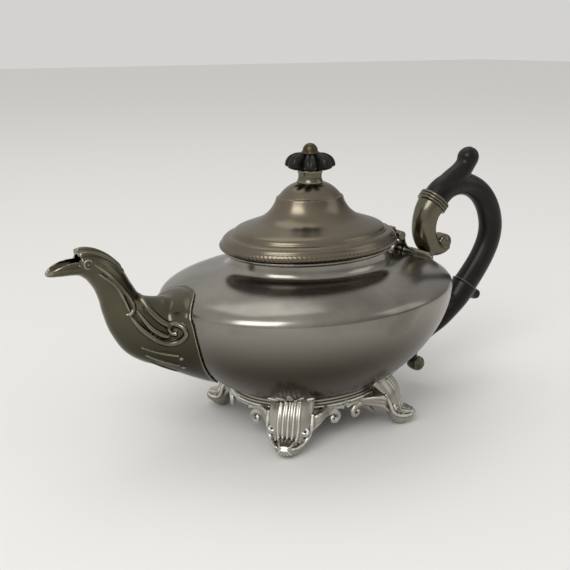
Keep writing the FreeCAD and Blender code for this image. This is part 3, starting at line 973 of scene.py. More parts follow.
@dataclass
class Lid(SubAssembly):
    """Bell-shaped lid with its gadrooned rim and its finial."""

    rim_low: float = 100.8
    gadroons: int = 128
    gadroon_depth: float = 0.26
    gadroon_slant: float = 1.6  # radians of a gadroon's wave for each millimetre up
    top: float = 134.0
    inner_top: float = 132.5
    bore: float = 1.6
    petals: int = 7
    flower_turn: float = math.radians(-123.2)
    flower_low: float = 141.0
    flower_top: float = 148.9
    petal_edge: float = 142.6
    petal_root: float = 7.4
    petal_length: float = 6.1
    petal_fold: float = 0.62  # share of the way where the top turns under
    flower_seat: float = 6.4  # radius that stands flat on the stem

    RIDES = Rides.LID
    # Points of (radius, height). Heights of the rim are above its lower edge.
    DOME = [(43.8, 108.6), (42.8, 109.9), (40.6, 111.2), (34.6, 113.2), (28.4, 115.4),
            (23.8, 118.6), (20.6, 122.6), (18.9, 126.6)]
    STEP = [(18.4, 126.95), (17.9, 127.0)]
    CROWN = [(17.6, 127.5), (14.6, 130.5), (11.4, 132.7), (8.4, 134.0)]
    UNDER = [(6.0, 132.5), (10.4, 131.4), (13.4, 129.2), (17.2, 126.0), (19.0, 121.6),
             (22.6, 117.4), (28.0, 114.0), (34.2, 111.8), (40.0, 109.9), (41.6, 108.6)]
    RIM = [(42.0, 0.0), (48.0, 0.0), (50.2, 0.15), (50.95, 1.1), (50.9, 2.4), (50.0, 3.6),
           (49.6, 4.0), (49.2, 4.9), (47.6, 6.4), (45.4, 7.1), (44.6, 7.3), (44.3, 7.9),
           (43.6, 8.0), (43.0, 7.8), (42.0, 7.4), (42.0, 3.0), (42.0, 0.0)]
    STEM = [(1.6, 134.0), (7.1, 134.0), (7.2, 134.5), (6.7, 135.3), (6.3, 136.6), (6.3, 138.4),
            (6.7, 139.6), (6.9, 140.4), (6.6, 141.0), (1.6, 141.0)]
    BUTTON = [(0.0, 149.4), (4.4, 149.4), (5.0, 149.9), (4.5, 150.7), (4.0, 151.1), (3.9, 151.8),
              (3.2, 153.2), (1.8, 154.4), (0.0, 154.8)]

    def build(self) -> None:
        """Make the dome, the rim and the finial."""
        profile = [*smooth_runs(self.DOME, 40), *self.STEP, *smooth_runs(self.CROWN, 16),
                   (self.bore, self.top), (self.bore, self.inner_top), *smooth_runs(self.UNDER, 36)]
        self.settle("lid_bell", turned(profile, SPIN, OVAL), Slot.LID, "lid_dome")
        self.settle("lid_edge", skin(self.rim_point, 960, 40, False), Slot.LID, "lid_rim")
        self.settle("finial_post", turned(self.STEM, 48), Slot.MOUNT, "finial_stem")
        flower = skin(self.petal_point, 360, 48, False)
        self.settle("finial_flower", flower, Slot.WOOD, "finial_petals")
        button = skin(self.button_point, 72, 24, False)
        self.settle("finial_tip", button, Slot.FINIAL, "finial_button")

    @cached_property
    def rim_rows(self) -> list[Pair]:
        """Points round the rim's section."""
        return smooth_runs([(r, self.rim_low + rise) for r, rise in self.RIM], 41)

    @cached_property
    def button_rows(self) -> list[Pair]:
        """Points up the button's section."""
        return smooth_runs(self.BUTTON, 25)

    def rim_point(self, u: float, w: float) -> Vector:
        """Point of the rim moulding, gadrooned on its lower edge.

        Args:
            u: Share of the way round.
            w: Share of the way along.

        Returns:
            The point in millimetres.
        """
        low = self.rim_low
        r, z = self.rim_rows[int(round(w * 40))]
        angle = 2 * math.pi * u
        lobe = math.exp(-((z - low - 1.7) / 1.3) ** 2) if r > 48.5 else 0.0
        slant = self.gadroons * angle + (z - low) * self.gadroon_slant
        r -= self.gadroon_depth * lobe * (0.5 - 0.5 * math.cos(slant)) ** 2
        return Vector((r * math.cos(angle), OVAL * r * math.sin(angle), z))

    def petal_point(self, u: float, w: float) -> Vector:
        """Point of the drooping flower: over the top first, then back underneath.

        Args:
            u: Share of the way round.
            w: Share of the way along.

        Returns:
            The point in millimetres.
        """
        angle = 2 * math.pi * u
        phase = self.petals * (angle - self.flower_turn)
        petal = (0.5 + 0.5 * math.cos(phase)) ** 0.38
        lobes = abs(math.sin(phase)) ** 0.8
        reach = self.petal_root + self.petal_length * petal + 0.5 * lobes
        edge = self.petal_edge + 1.2 * (1 - petal)
        if w > 0.99:
            w = 0.0
        if w < self.petal_fold:
            t = w / self.petal_fold
            r = self.bore + (reach - self.bore) * math.sin(0.5 * math.pi * t) ** 1.1
            fall = (1 - math.cos(0.5 * math.pi * t)) ** 1.3
            z = self.flower_top - (self.flower_top - edge) * fall
            z += (1.7 * lobes * petal - 1.8 * (1 - petal)) * math.sin(math.pi * t) ** 0.8
        else:
            t = (w - self.petal_fold) / (1 - self.petal_fold)
            r = reach + (self.bore - reach) * t
            z = (edge - 1.1 * math.sin(math.pi * min(1.5 * t, 1.0))
                 + (self.flower_low - edge) * t ** 1.5)
        if r < self.flower_seat:
            z = max(z, self.flower_low)
        return Vector((r * math.cos(angle), r * math.sin(angle), z))

    def button_point(self, u: float, w: float) -> Vector:
        """Point of the acorn button with its lobed cup.

        Args:
            u: Share of the way round.
            w: Share of the way along.

        Returns:
            The point in millimetres.
        """
        angle = 2 * math.pi * u
        r, z = self.button_rows[int(round(w * 24))]
        lobe = 0.5 + 0.5 * math.cos(6 * angle)
        if 149.6 < z < 150.9:
            r -= 0.5 * (1 - lobe)
        return Vector((r * math.cos(angle), r * math.sin(angle), z))


@dataclass
class Handle(SubAssembly):
    """Ebonised grip between two cast sockets, with the reeded collar."""

    body: PotBody
    grain: float = 0.45
    sink: float = 0.4
    collar_end: Vector = Vector((89.0, 0.0, 116.6))
    collar_length: float = 5.4
    collar_lean: float = math.atan2(0.66, 0.75)
    collar_bore: float = 4.45
    collar_radius: float = 8.5
    reeds: int = 3
    reed_height: float = 0.9
    hinge: Pair = (57.5, 99.2)
    hinge_play: float = 0.35
    knuckle: float = 2.55
    knuckle_inner: float = 2.8
    knuckle_outer: float = 9.0
    leaf_middle: float = 74.4
    leaf_length: float = 13.6
    leaf_lift: float = 2.2

    # Rows of (x, z, half height, half width) along each limb.
    GRIP = [(86.6, 114.0, 8.0, 7.4), (93.4, 120.4, 8.0, 7.2), (100.0, 123.2, 7.6, 6.8),
            (108.0, 123.6, 7.0, 6.4), (116.0, 121.6, 6.8, 6.3), (123.6, 117.2, 7.0, 6.4),
            (129.8, 110.6, 7.3, 6.5), (134.0, 102.4, 7.6, 6.6), (135.8, 93.6, 7.7, 6.7),
            (134.4, 84.6, 7.7, 6.7), (130.0, 75.4, 7.7, 6.7), (123.6, 66.6, 7.8, 6.8),
            (116.2, 58.2, 8.0, 7.0)]
    THUMB = [(94.0, 120.4, 7.6, 7.0), (101.6, 125.8, 7.2, 6.6), (107.6, 130.4, 6.4, 6.0),
             (111.4, 134.8, 5.9, 5.8), (113.2, 138.6, 6.6, 6.2), (114.0, 141.6, 5.8, 5.6),
             (114.4, 144.0, 3.6, 3.6), (114.6, 145.2, 0.6, 0.6)]
    STEM = [(86.0, 113.2, 8.3, 8.3), (82.9, 108.6, 7.8, 7.5), (81.2, 102.0, 7.4, 7.2),
            (81.6, 95.6, 7.3, 7.0), (84.6, 89.8, 6.8, 6.6), (89.4, 86.4, 5.4, 6.0),
            (94.6, 85.4, 3.6, 5.4), (98.4, 86.6, 2.4, 5.0)]
    FOOT = [(86.4, 90.0, 4.8, 5.0), (84.4, 85.6, 4.4, 5.0), (82.0, 79.6, 5.0, 5.6)]
    TAIL = [(117.0, 59.1, 8.4, 7.6), (111.2, 52.4, 8.0, 7.4), (104.6, 45.8, 7.0, 6.8),
            (96.4, 39.0, 5.8, 6.2), (87.4, 33.0, 4.0, 5.4), (79.8, 26.8, 2.8, 4.6),
            (75.8, 20.6, 2.6, 4.0), (76.4, 15.6, 2.6, 3.4)]
    SPUR = [(110.0, 55.4, 5.0, 4.8), (118.0, 53.6, 4.8, 4.4), (123.0, 52.0, 3.6, 3.4),
            (126.4, 50.8, 3.3, 3.3), (128.4, 50.2, 2.6, 2.6), (129.4, 49.8, 0.6, 0.6)]
    BRACKET = [(110.0, 50.4, 5.8, 5.8), (96.0, 49.8, 6.2, 6.4), (84.0, 49.6, 7.4, 7.6),
               (72.0, 49.6, 8.4, 8.6)]
    STRAP = [(69.0, 88.6, 1.0, 8.0), (64.6, 90.4, 1.0, 8.6), (61.8, 92.2, 0.9, 8.8),
             (60.4, 94.2, 0.8, 8.8)]
    HOOK = [(61.8, 92.2, 0.9, 2.9), (60.3, 94.6, 0.9, 2.9), (59.6, 97.0, 0.9, 2.9),
            (59.0, 99.2, 0.9, 2.9)]

    def build(self) -> None:
        """Make the grip, the collar, the sockets and what foots them on the body."""
        grip = cast([tube(self.GRIP, 56, 140), tube(self.THUMB, 48, 60)], self.grain, 5)
        self.settle("grip", grip, Slot.WOOD, "handle_grip")
        self.settle("reeded_collar", self.collar(), Slot.MOUNT, "handle_collar")
        upper = cast([tube(self.STEM, 56, 100), tube(self.FOOT, 40, 30),
                      *self.curl((95.4, 90.0), 4.9, 5.0, -0.55 * math.pi)], self.grain)
        upper = self.squared(carved(upper, self.body.core(self.sink)))
        self.settle("upper_socket", upper, Slot.MOUNT, "handle_upper_socket")
        lower = cast([tube(self.TAIL, 48, 90), tube(self.SPUR, 36, 40),
                      tube(self.BRACKET, 36, 40), self.bead()], self.grain)
        lower = carved(lower, self.body.core(self.sink))
        # The lower socket gets the near-black finish as painted shade under the grip.
        self.settle("lower_socket", lower, Slot.DARK, "handle_lower_socket")
        scroll = cast(self.curl((79.6, 13.9), 4.9, 4.4, -0.9 * math.pi), self.grain)
        self.settle("low_scroll", scroll, Slot.MOUNT)
        self.settle("shoulder_leaf", self.leaf(), Slot.MOUNT, "handle_upper_plate")
        self.settle("hinge_strap", self.strap(), Slot.MOUNT, "hinge_body_leaf")

    def bead(self) -> Mesh:
        """Raised edge round the mouth of the lower socket.

        Returns:
            The mesh.
        """
        x, z, high, wide = self.TAIL[0]
        dx, dz = self.TAIL[0][0] - self.TAIL[1][0], self.TAIL[0][1] - self.TAIL[1][1]
        length = math.hypot(dx, dz)
        rows = []
        for i in range(33):
            angle = 2 * math.pi * i / 32
            rise = high * math.cos(angle) / length
            rows.append((x - 0.06 * dx - dz * rise, wide * math.sin(angle),
                         z - 0.06 * dz + dx * rise, 0.6))
        return cord(rows, 65, 12)

    def strap(self) -> Mesh:
        """Strap that curls up from the leaf into the two outer knuckles of the hinge.

        Returns:
            The mesh.
        """
        x, z = self.hinge
        parts = [tube(self.STRAP, 48, 40)]
        for side in (-1, 1):
            parts.append(tube(self.HOOK, 36, 30, side * 6.05))
            inner = side * (self.knuckle_inner + self.hinge_play)
            outer = side * self.knuckle_outer
            rows = [(x, inner, z, 2.2), (x, inner + side * 0.2, z, self.knuckle),
                    (x, outer - side * 0.5, z, self.knuckle), (x, outer, z, 2.0)]
            parts.append(cord(rows, 24, 32))
        return carved(cast(parts, 0.3, 1), self.body.core(self.sink))

    def collar(self) -> Mesh:
        """Rounded reeds round the joint of socket and grip.

        Returns:
            The mesh.
        """
        profile = [(self.collar_bore, 0.0)]
        pitch = self.collar_length / self.reeds
        for i in range(self.reeds):
            for k in range(9):
                angle = math.pi * k / 8
                profile.append((self.collar_radius + self.reed_height * math.sin(angle),
                                pitch * (i + 0.5 - 0.5 * math.cos(angle))))
        profile.append((self.collar_bore, self.collar_length))
        bm = turned(profile, 64)
        lean = Matrix.Rotation(self.collar_lean, 4, "Y")
        start = self.collar_end - lean @ Vector((0, 0, self.collar_length))
        bmesh.ops.transform(bm, matrix=Matrix.Translation(start * MM) @ lean, verts=bm.verts)
        return bm

    def squared(self, bm: Mesh) -> Mesh:
        """Trim the upper socket flat under the collar."""
        axis = Matrix.Rotation(self.collar_lean, 4, "Y") @ Vector((0, 0, 1))
        return trimmed(bm, (self.collar_end - axis * self.collar_length) * MM, axis, True)

    @staticmethod
    def curl(eye: Pair, radius: float, half: float, start: float) -> list[Mesh]:
        """Rolled scroll end about an eye in the pot's middle plane.

        Args:
            eye: Place of the eye as (x, z).
            radius: Radius of the roll.
            half: Half of its width.
            start: Angle where the roll begins.

        Returns:
            The roll, its two eyes and the drum that fills it.
        """

        def drum(ends: Sequence[Pair], middle: float) -> list[Station]:
            """Rows of a drum across the roll.

            Args:
                ends: Rows of (distance past the edge, radius) at each end.
                middle: Radius half way across.

            Returns:
                Rows for a cord.
            """
            rows = [(-half - past, r) for past, r in ends] + [(0.0, middle)]
            rows += [(half + past, r) for past, r in reversed(ends)]
            return [(eye[0], y, eye[1], r) for y, r in rows]

        roll = [(eye[0] + x, eye[1] + z, 1.3, half * (1 - 0.12 * i / 40))
                for i, (x, z) in enumerate(spiral(start, 1.7, radius - 1.0, 1.2, 41))]
        eyes = drum(((0.9, 0.6), (0.4, 1.7), (0.0, 2.2)), 2.6)
        fill = drum(((-0.7, 0.5), (-0.8, radius - 0.9)), radius - 0.5)
        return [tube(roll, 28, 120), cord(eyes, 30, 24), cord(fill, 24, 36)]

    def leaf(self) -> Mesh:
        """Leaf with a raised edge and midrib that foots the upper socket on the shoulder.

        Returns:
            The mesh.
        """

        def point(u: float, w: float) -> Vector:
            """Point of the leaf, over its top and back under it.

            Args:
                u: Share of the way round.
                w: Share of the way along.

            Returns:
                The point in millimetres.
            """
            angle = 2 * math.pi * u
            top = w < 0.6
            t = w / 0.6 if top else (1 - w) / 0.4
            lobes = 1 + 0.10 * math.cos(5 * angle)
            x = self.leaf_middle + self.leaf_length * t * math.cos(angle) * lobes
            y = (8.8 + 1.4 * math.cos(angle)) * t * math.sin(angle) * lobes
            r = min(math.hypot(x, y / OVAL), 84.9)
            edge = 0.8 * math.exp(-((t - 0.92) / 0.07) ** 2)
            lift = self.leaf_lift + edge + 0.6 * math.exp(-(y / 1.4) ** 2)
            return Vector((x, y, self.body.height_at(r) + (lift if top else -0.8)))

        return carved(skin(point, 120, 40, False), self.body.core(0.5))


@dataclass
class Spout(SubAssembly):
    """Cast spout with a bird's head, reeded scrolls and a shield-shaped root."""

    body: PotBody
    grain: float = 0.42
    sink: float = 0.5
    wall: float = 2.2
    middle: float = 62.0  # height of the shield's middle
    inward: float = 0.965  # where the flare leaves the shield, as a share of its size

    # Rows of (x, z, half height, half width) along each limb. The flare meets the neck at NECK[2].
    BORE = [(-60.0, 62.4, 16.5, 13.0), (-76.0, 64.6, 15.0, 12.0), (-84.4, 67.8, 14.2, 11.2),
            (-92.0, 70.2, 13.4, 10.2)]
    NECK = [(-84.4, 65.8, 18.0, 14.2), (-92.0, 68.6, 17.4, 13.4), (-98.5, 72.2, 16.0, 12.4),
            (-104.5, 77.8, 12.9, 10.5), (-108.5, 84.0, 10.3, 9.3), (-111.3, 91.0, 8.8, 8.5),
            (-114.5, 98.0, 8.2, 8.2), (-119.0, 103.8, 7.7, 7.9), (-124.0, 107.0, 6.8, 7.4),
            (-128.8, 108.4, 6.0, 6.6)]
    LIP_WAY = [(-137.6, 108.7, 4.5, 4.4), (-150.0, 109.4, 4.2, 3.4)]
    BEAK = [(-121.0, 105.4, 4.4, 6.6), (-131.0, 106.5, 4.0, 6.2), (-137.6, 106.2, 3.5, 5.1),
            (-141.4, 105.1, 2.3, 3.6), (-143.2, 104.3, 1.2, 1.8), (-143.8, 104.0, 0.3, 0.5)]
    # Points of (y, z) down one side of the shield, the widest seventh.
    SHIELD = [(0.0, 86.4), (4.4, 86.2), (8.6, 85.4), (12.8, 84.0), (16.6, 82.0), (19.6, 79.2),
              (21.8, 73.4), (21.0, 63.0), (17.2, 53.0), (11.4, 43.4), (5.0, 35.8), (0.0, 31.8)]
    # Rows of (x, z, radius) along the strands of the crest and of each side.
    CREST = [(-128.6, 113.4, 1.4), (-125.4, 113.6, 1.5), (-120.4, 112.2, 1.6), (-115.0, 109.0, 1.6),
             (-110.4, 104.6, 1.6), (-108.8, 102.4, 1.5)]
    LINES = [
        [(-108.2, 81.0, 0.5), (-104.0, 74.7, 1.1), (-98.5, 69.1, 1.25), (-93.4, 65.8, 1.3),
         (-89.0, 65.0, 1.3), (-85.4, 66.8, 1.25), (-83.8, 70.4, 1.2), (-85.2, 73.8, 1.15),
         (-88.4, 74.6, 1.1), (-90.2, 72.4, 1.0), (-89.2, 70.2, 1.0), (-87.2, 70.2, 1.1)],
        [(-104.6, 83.2, 0.4), (-101.2, 77.1, 1.0), (-98.1, 73.0, 1.2), (-93.6, 69.6, 1.2),
         (-90.4, 68.6, 0.6)],
        [(-100.8, 89.4, 0.7), (-99.9, 86.6, 1.4), (-98.1, 82.0, 1.6), (-94.6, 77.5, 1.6),
         (-91.0, 74.6, 1.4), (-88.6, 74.2, 0.8)],
        [(-125.0, 109.6, 0.4), (-117.7, 103.4, 0.8), (-111.9, 96.3, 0.85), (-107.3, 89.3, 0.85),
         (-105.8, 84.7, 0.8), (-107.6, 81.9, 0.8), (-110.0, 81.9, 0.4)],
        [(-121.0, 103.2, 0.4), (-114.4, 97.3, 0.75), (-111.1, 91.2, 0.8), (-108.3, 83.4, 0.5)],
        [(-103.6, 64.4, 0.4), (-95.3, 60.5, 0.9), (-86.0, 57.6, 0.6)],
        [(-101.0, 59.4, 0.4), (-93.0, 55.0, 0.9), (-84.4, 51.0, 0.6)],
        [(-97.6, 54.0, 0.4), (-90.4, 49.6, 0.8), (-83.0, 45.4, 0.5)]]
    BOSSES = [(-84.4, 56.0, 1.3), (-82.0, 49.6, 1.1)]
    EYE = (-125.6, 108.4)

    def build(self) -> None:
        """Make the casting and open its passage."""
        parts = [tube(self.NECK, 80, 150), tube(self.BEAK, 48, 60), self.shield(), self.root()]
        for y, drop, girth in ((0.0, 0.0, 1.15), (-4.1, 1.1, 1.0), (4.1, 1.1, 1.0)):
            parts.append(cord([(x, y, z - drop, r * girth) for x, z, r in self.CREST], 60, 18))
        parts.append(tube([(x, z - 1.2, 1.5, 5.0) for x, z, _ in self.CREST], 40, 50))
        for side in (-1, 1):
            outward = Vector((0, side, 0))
            for line in self.LINES:
                rows = [(x, side * (self.side_at(x, z) + 0.25), z, 1.1 * r) for x, z, r in line]
                parts.append(cord(rows, 90, 14, 1.0, outward))
            for boss in self.BOSSES:
                parts.append(self.boss(*boss, side))
            x, z = self.EYE
            y = side * (self.side_at(x, z) + 0.1)
            ring = [(x + dx, y, z + dz, 0.6) for dx, dz in spiral(0.0, 1.02, 1.9, 1.9, 24)]
            parts.append(cord(ring, 48, 12, 1.0, outward))
            parts.append(self.boss(x, z, 0.9, side))
        metal = carved(cast(parts, self.grain), self.passage())
        metal = carved(metal, self.body.core(self.sink))
        self.settle("spout_casting", metal, Slot.SPOUT, "spout")

    def passage(self) -> Mesh:
        """Way for the tea through the neck and out between the beak's halves."""
        inner = [(x, z, high - self.wall, wide - self.wall) for x, z, high, wide in self.NECK[2:]]
        return tube(self.BORE + inner + self.LIP_WAY, 48, 120)

    def side_at(self, x: float, z: float) -> float:
        """Half width of the casting's skin at a place seen from the side.

        Args:
            x: Place along the pot.
            z: Height.

        Returns:
            The half width.
        """
        if x > self.NECK[2][0] + 2:
            return self.flare_at(x, z)
        rows = smooth_runs(self.NECK, 200)
        best, width = 1e9, 0.0
        for (x0, z0, high, wide), (x1, z1, _, _) in zip(rows, rows[1:]):
            length = math.hypot(x1 - x0, z1 - z0)
            run = ((x - x0) * (x1 - x0) + (z - z0) * (z1 - z0)) / length
            off = ((z - z0) * (x1 - x0) - (x - x0) * (z1 - z0)) / length
            if abs(run) < best:
                best = abs(run)
                width = wide * math.sqrt(max(1 - (off / high) ** 2, 0.0))
        return width

    def boss(self, x: float, z: float, radius: float, side: int) -> Mesh:
        """Small rounded stud on the spout's side.

        Args:
            x: Place along the pot.
            z: Height.
            radius: Its radius.
            side: Side of the spout, 1 or -1.

        Returns:
            The stud.
        """
        y = side * self.side_at(x, z)
        rows = [(x, y - side * radius, z, 0.3 * radius), (x, y, z, radius),
                (x, y + side * 0.6 * radius, z, 0.8 * radius),
                (x, y + side * radius, z, 0.2 * radius)]
        return cord(rows, 12, 14)

    @cached_property
    def half_ring(self) -> list[Pair]:
        """Points of (y, z) down one side of the shield."""
        return smooth_runs(self.SHIELD, 60)

    @cached_property
    def ring(self) -> list[Pair]:
        """Points of (y, z) round the shield, from the top down one side and up the other."""
        return self.half_ring + [(-y, z) for y, z in self.half_ring[-2:0:-1]]

    def on_ring(self, u: float) -> Pair:
        """Point of the shield's edge at a share of the way round."""
        count = len(self.ring)
        return self.ring[int(round(u * count)) % count]

    def on_bowl(self, y: float, z: float, share: float, lift: float) -> tuple[Vector, Vector]:
        """Point over the bowl behind the spout.

        Args:
            y: Across the shield's edge.
            z: Height on the shield's edge.
            share: Share of the way from the shield's middle to that edge.
            lift: Distance off the bowl.

        Returns:
            The point and the direction off the metal there.
        """
        z = self.middle + (z - self.middle) * share
        ratio = y * share / (OVAL * self.body.radius_at(z))
        return self.body.lifted(math.pi - math.asin(max(min(ratio, 0.999), -0.999)), z, lift)

    def shield(self) -> Mesh:
        """Thin plate of the root, laid on the bowl.

        Returns:
            The mesh.
        """

        def point(u: float, w: float) -> Vector:
            """Point of the plate, over its face and back behind it.

            Args:
                u: Share of the way round.
                w: Share of the way along.

            Returns:
                The point in millimetres.
            """
            front = w < 0.6
            t = w / 0.6 if front else (1 - w) / 0.4
            return self.on_bowl(*self.on_ring(u), t, 1.1 if front else -1.2)[0]

        return skin(point, len(self.ring), 50, False)

    def flare(self, y: float, z: float, w: float) -> Vector:
        """Point of the root on its way from the shield's edge to the neck.

        Args:
            y: Across the shield's edge.
            z: Height on the shield's edge.
            w: Share of the way to the neck.

        Returns:
            The point.
        """
        start, away = self.on_bowl(y, z, self.inward, 0.9)
        inner, _ = self.on_bowl(y, z, self.inward * 0.9, 0.9)
        x, height, high, wide = self.NECK[2]
        (x0, z0), (x1, z1) = self.NECK[1][:2], self.NECK[3][:2]
        run = Vector((x1 - x0, 0, z1 - z0)).normalized()
        angle = math.atan2(y / self.SHIELD[6][0],
                           (z - self.middle) / (self.SHIELD[0][1] - self.middle))
        over = Vector((-run.z, 0, run.x)) * -high * math.cos(angle)
        end = Vector((x, wide * math.sin(angle), height)) + over
        leave = away * 10 + (inner - start).normalized() * 14
        arrive = run * 20
        a, b = 2 * w ** 3 - 3 * w ** 2 + 1, w ** 3 - 2 * w ** 2 + w
        c, d = 3 * w ** 2 - 2 * w ** 3, w ** 3 - w ** 2
        return start * a + leave * b + end * c + arrive * d

    def root(self) -> Mesh:
        """Smooth flare from the shield into the neck."""
        return skin(lambda u, w: self.flare(*self.on_ring(u), w), len(self.ring), 40)

    @cached_property
    def flare_spots(self) -> list[Vector]:
        """Points all over one side of the flare."""
        return [self.flare(y, z, i / 40) for y, z in self.half_ring for i in range(41)]

    def flare_at(self, x: float, z: float) -> float:
        """Half width of the flare at a place seen from the side."""
        nearest = min(self.flare_spots, key=lambda spot: (spot.x - x) ** 2 + (spot.z - z) ** 2)
        return abs(nearest.y)


@dataclass
class Base(SubAssembly):
    """Four scroll feet with their leafy aprons."""

    body: PotBody
    grain: float = 0.36
    sink: float = 0.2
    foot_turn: float = -math.atan2(1.0, OVAL)
    ring_low: float = 21.6
    apron_radius: float = 44.2
    apron_half: float = 1.2
    apron_low: float = 9.6
    apron_arch: float = 8.2
    gap: float = 0.15 * MM  # half of the joint between two feet, in metres

    # Rows of (x, z, half height, half width) down the leg, which is then turned to its corner.
    LEG = [(38.6, 26.0, 6.0, 11.6), (45.0, 19.4, 5.4, 11.8), (48.0, 13.0, 4.8, 11.2),
           (49.8, 7.8, 4.5, 9.4), (52.2, 5.0, 5.0, 7.8), (55.6, 5.2, 4.2, 6.4),
           (58.4, 6.0, 3.0, 5.0), (60.0, 6.8, 1.7, 3.6), (60.7, 7.2, 0.5, 1.6)]
    # Rows of (x, y, z, radius) down the leg's edge.
    EDGE = [(45.4, 11.8, 21.0, 0.7), (47.8, 11.8, 15.8, 1.0), (49.8, 10.8, 10.6, 1.0),
            (52.6, 8.6, 7.6, 0.9), (56.4, 6.4, 6.8, 0.9), (59.4, 4.2, 7.0, 0.6)]
    # Places of the ribs at the top and at the toe, as shares of the leg's half width.
    RIBS = [(0.0, 0.0), (-0.22, -0.32), (0.22, 0.32), (-0.44, -0.64), (0.44, 0.64)]
    # Rows of (degrees from the foot, height, radius) along the apron.
    SCROLL = [(10.0, 8.4, 1.4), (15.0, 11.4, 1.8), (20.0, 14.6, 1.9), (25.0, 16.6, 1.9),
              (29.6, 16.6, 1.8), (32.6, 14.2, 1.6), (31.6, 11.6, 1.4), (28.8, 11.2, 1.3),
              (27.6, 13.0, 1.2), (29.2, 14.0, 1.1)]
    SPRIG = [(24.0, 18.4, 0.5), (30.0, 18.8, 1.2), (35.0, 18.6, 1.3), (37.4, 17.0, 0.6)]
    TENDRIL = [(25.0, 17.6, 1.4), (31.0, 18.9, 0.7)]
    # Rows of (distance along the leg, across it, height, radius) at a bracket's start.
    KNEE = [(47.6, 9.6, 10.4, 0.9), (45.4, 12.0, 13.4, 1.4), (42.8, 14.4, 15.8, 1.6)]
    # Height, ring radius and girth of the lines round the apron.
    REEDS = [(20.9, 46.0, 0.75), (19.2, 45.6, 0.6)]
    # Lean in degrees and height of each lobe of the leaf on the bowl, and the lobes' girths.
    LOBES = [(-11.0, 3.0), (-6.0, 5.0), (0.0, 7.4), (6.0, 5.0), (11.0, 3.0)]
    LOBE_GIRTHS = (1.4, 1.8, 1.8, 1.3, 0.4)
    PLACES = {"foot_handle_near": (1, 1), "foot_spout_near": (-1, 1),
              "foot_handle_far": (1, -1), "foot_spout_far": (-1, -1)}

    def build(self) -> None:
        """Make one foot and mirror it to the other three places."""
        for node, (x, y) in self.PLACES.items():
            bm = self.foot()
            bmesh.ops.scale(bm, vec=(x, y, 1), verts=bm.verts)
            bmesh.ops.recalc_face_normals(bm, faces=bm.faces)
            self.settle("scroll_" + node, bm, Slot.BASE, node)

    def foot(self) -> Mesh:
        """Foot on the handle side, nearest the camera.

        Returns:
            The mesh.
        """
        leg = [tube(self.LEG, 64, 70)]
        for side in (-1, 1):
            leg.append(cord([(x, side * y, z, r) for x, y, z, r in self.EDGE], 60, 14))
            leg.append(self.volute(side))
        for top, toe in self.RIBS:
            leg.append(self.rib(2, 38, top, toe, 0.8))
            leg.append(self.rib(27, 39, toe, toe, 0.7, -1))
        foot = merge(leg)
        bmesh.ops.rotate(foot, cent=(0, 0, 0), verts=foot.verts,
                         matrix=Matrix.Rotation(math.radians(-45), 3, "Z"))
        parts = [foot, self.apron(), *self.palmette()]
        for way in (-1, 1):
            parts.extend(self.bracket(way, rise) for rise in (0.0, 2.0, 4.0))
            parts.append(cord(self.strand(self.SCROLL, way, 45.6), 90, 14))
            parts.append(cord(self.strand(self.SPRIG, way, 45.4), 40, 12))
        for z, radius, girth in self.REEDS:
            rows = [(span, z, girth) for span in range(-38, 51, 4)]
            parts.append(cord(self.strand(rows, 1, radius), 120, 12))
        bm = carved(cast(parts, self.grain, 1), self.body.core(self.sink))
        trimmed(bm, (0, 0, 0), (0, 0, 1))
        trimmed(bm, (self.gap, 0, 0), (1, 0, 0))
        return trimmed(bm, (0, -self.gap, 0), (0, -1, 0))

    def on_ring(self, span: float, radius: float) -> Pair:
        """Place on an oval at degrees from the foot."""
        turn = self.foot_turn + math.radians(span)
        return radius * math.cos(turn), radius * OVAL * math.sin(turn)

    def strand(self, rows: Sequence[Colour], way: int, radius: float) -> list[Station]:
        """Lay the rows of a strand on the apron.

        Args:
            rows: Rows of (degrees from the foot, height, radius).
            way: Side of the foot, 1 or -1.
            radius: Half length of the oval that it lies on.

        Returns:
            Rows for a cord.
        """
        return [(*self.on_ring(way * span, radius), z, girth) for span, z, girth in rows]

    def rib(self, first: int, last: int, start: float, end: float, girth: float,
            face: int = 1) -> Mesh:
        """Raised rib down the leg.

        Args:
            first: Where it starts, of forty steps down the leg.
            last: Where it ends.
            start: Share of the half width where it starts.
            end: Share of the half width where it ends.
            girth: Its radius.
            face: 1 on the front of the leg, -1 under it.

        Returns:
            The rib.
        """
        stations = smooth_runs(self.LEG, 40)
        rows = []
        for i in range(first, last):
            x, z, high, wide = stations[i]
            (x0, z0), (x1, z1) = stations[i - 1][:2], stations[i + 1][:2]
            dx, dz = x1 - x0, z1 - z0
            t = (i - first) / (last - 1 - first)
            share = start + (end - start) * t
            lift = face * (high * math.sqrt(1 - share * share) - 0.1) / math.hypot(dx, dz)
            rows.append((x - dz * lift, share * wide, z + dx * lift,
                         girth * (0.6 + 0.4 * math.sin(math.pi * t))))
        return cord(rows, 60, 12)

    def bracket(self, way: int, rise: float) -> Mesh:
        """Strand of leaf that sweeps from the side of the leg on to the apron.

        Args:
            way: Side of the foot, 1 or -1.
            rise: How far above the lowest strand it runs.

        Returns:
            The strand.
        """
        rows = []
        for along, across, z, girth in self.KNEE:
            x, y = along + way * across, way * across - along
            rows.append((x * math.sqrt(0.5), y * math.sqrt(0.5), z + rise, girth))
        tendril = [(span, z + 0.4 * rise, girth) for span, z, girth in self.TENDRIL]
        return cord(rows + self.strand(tendril, way, 45.8), 60, 14)

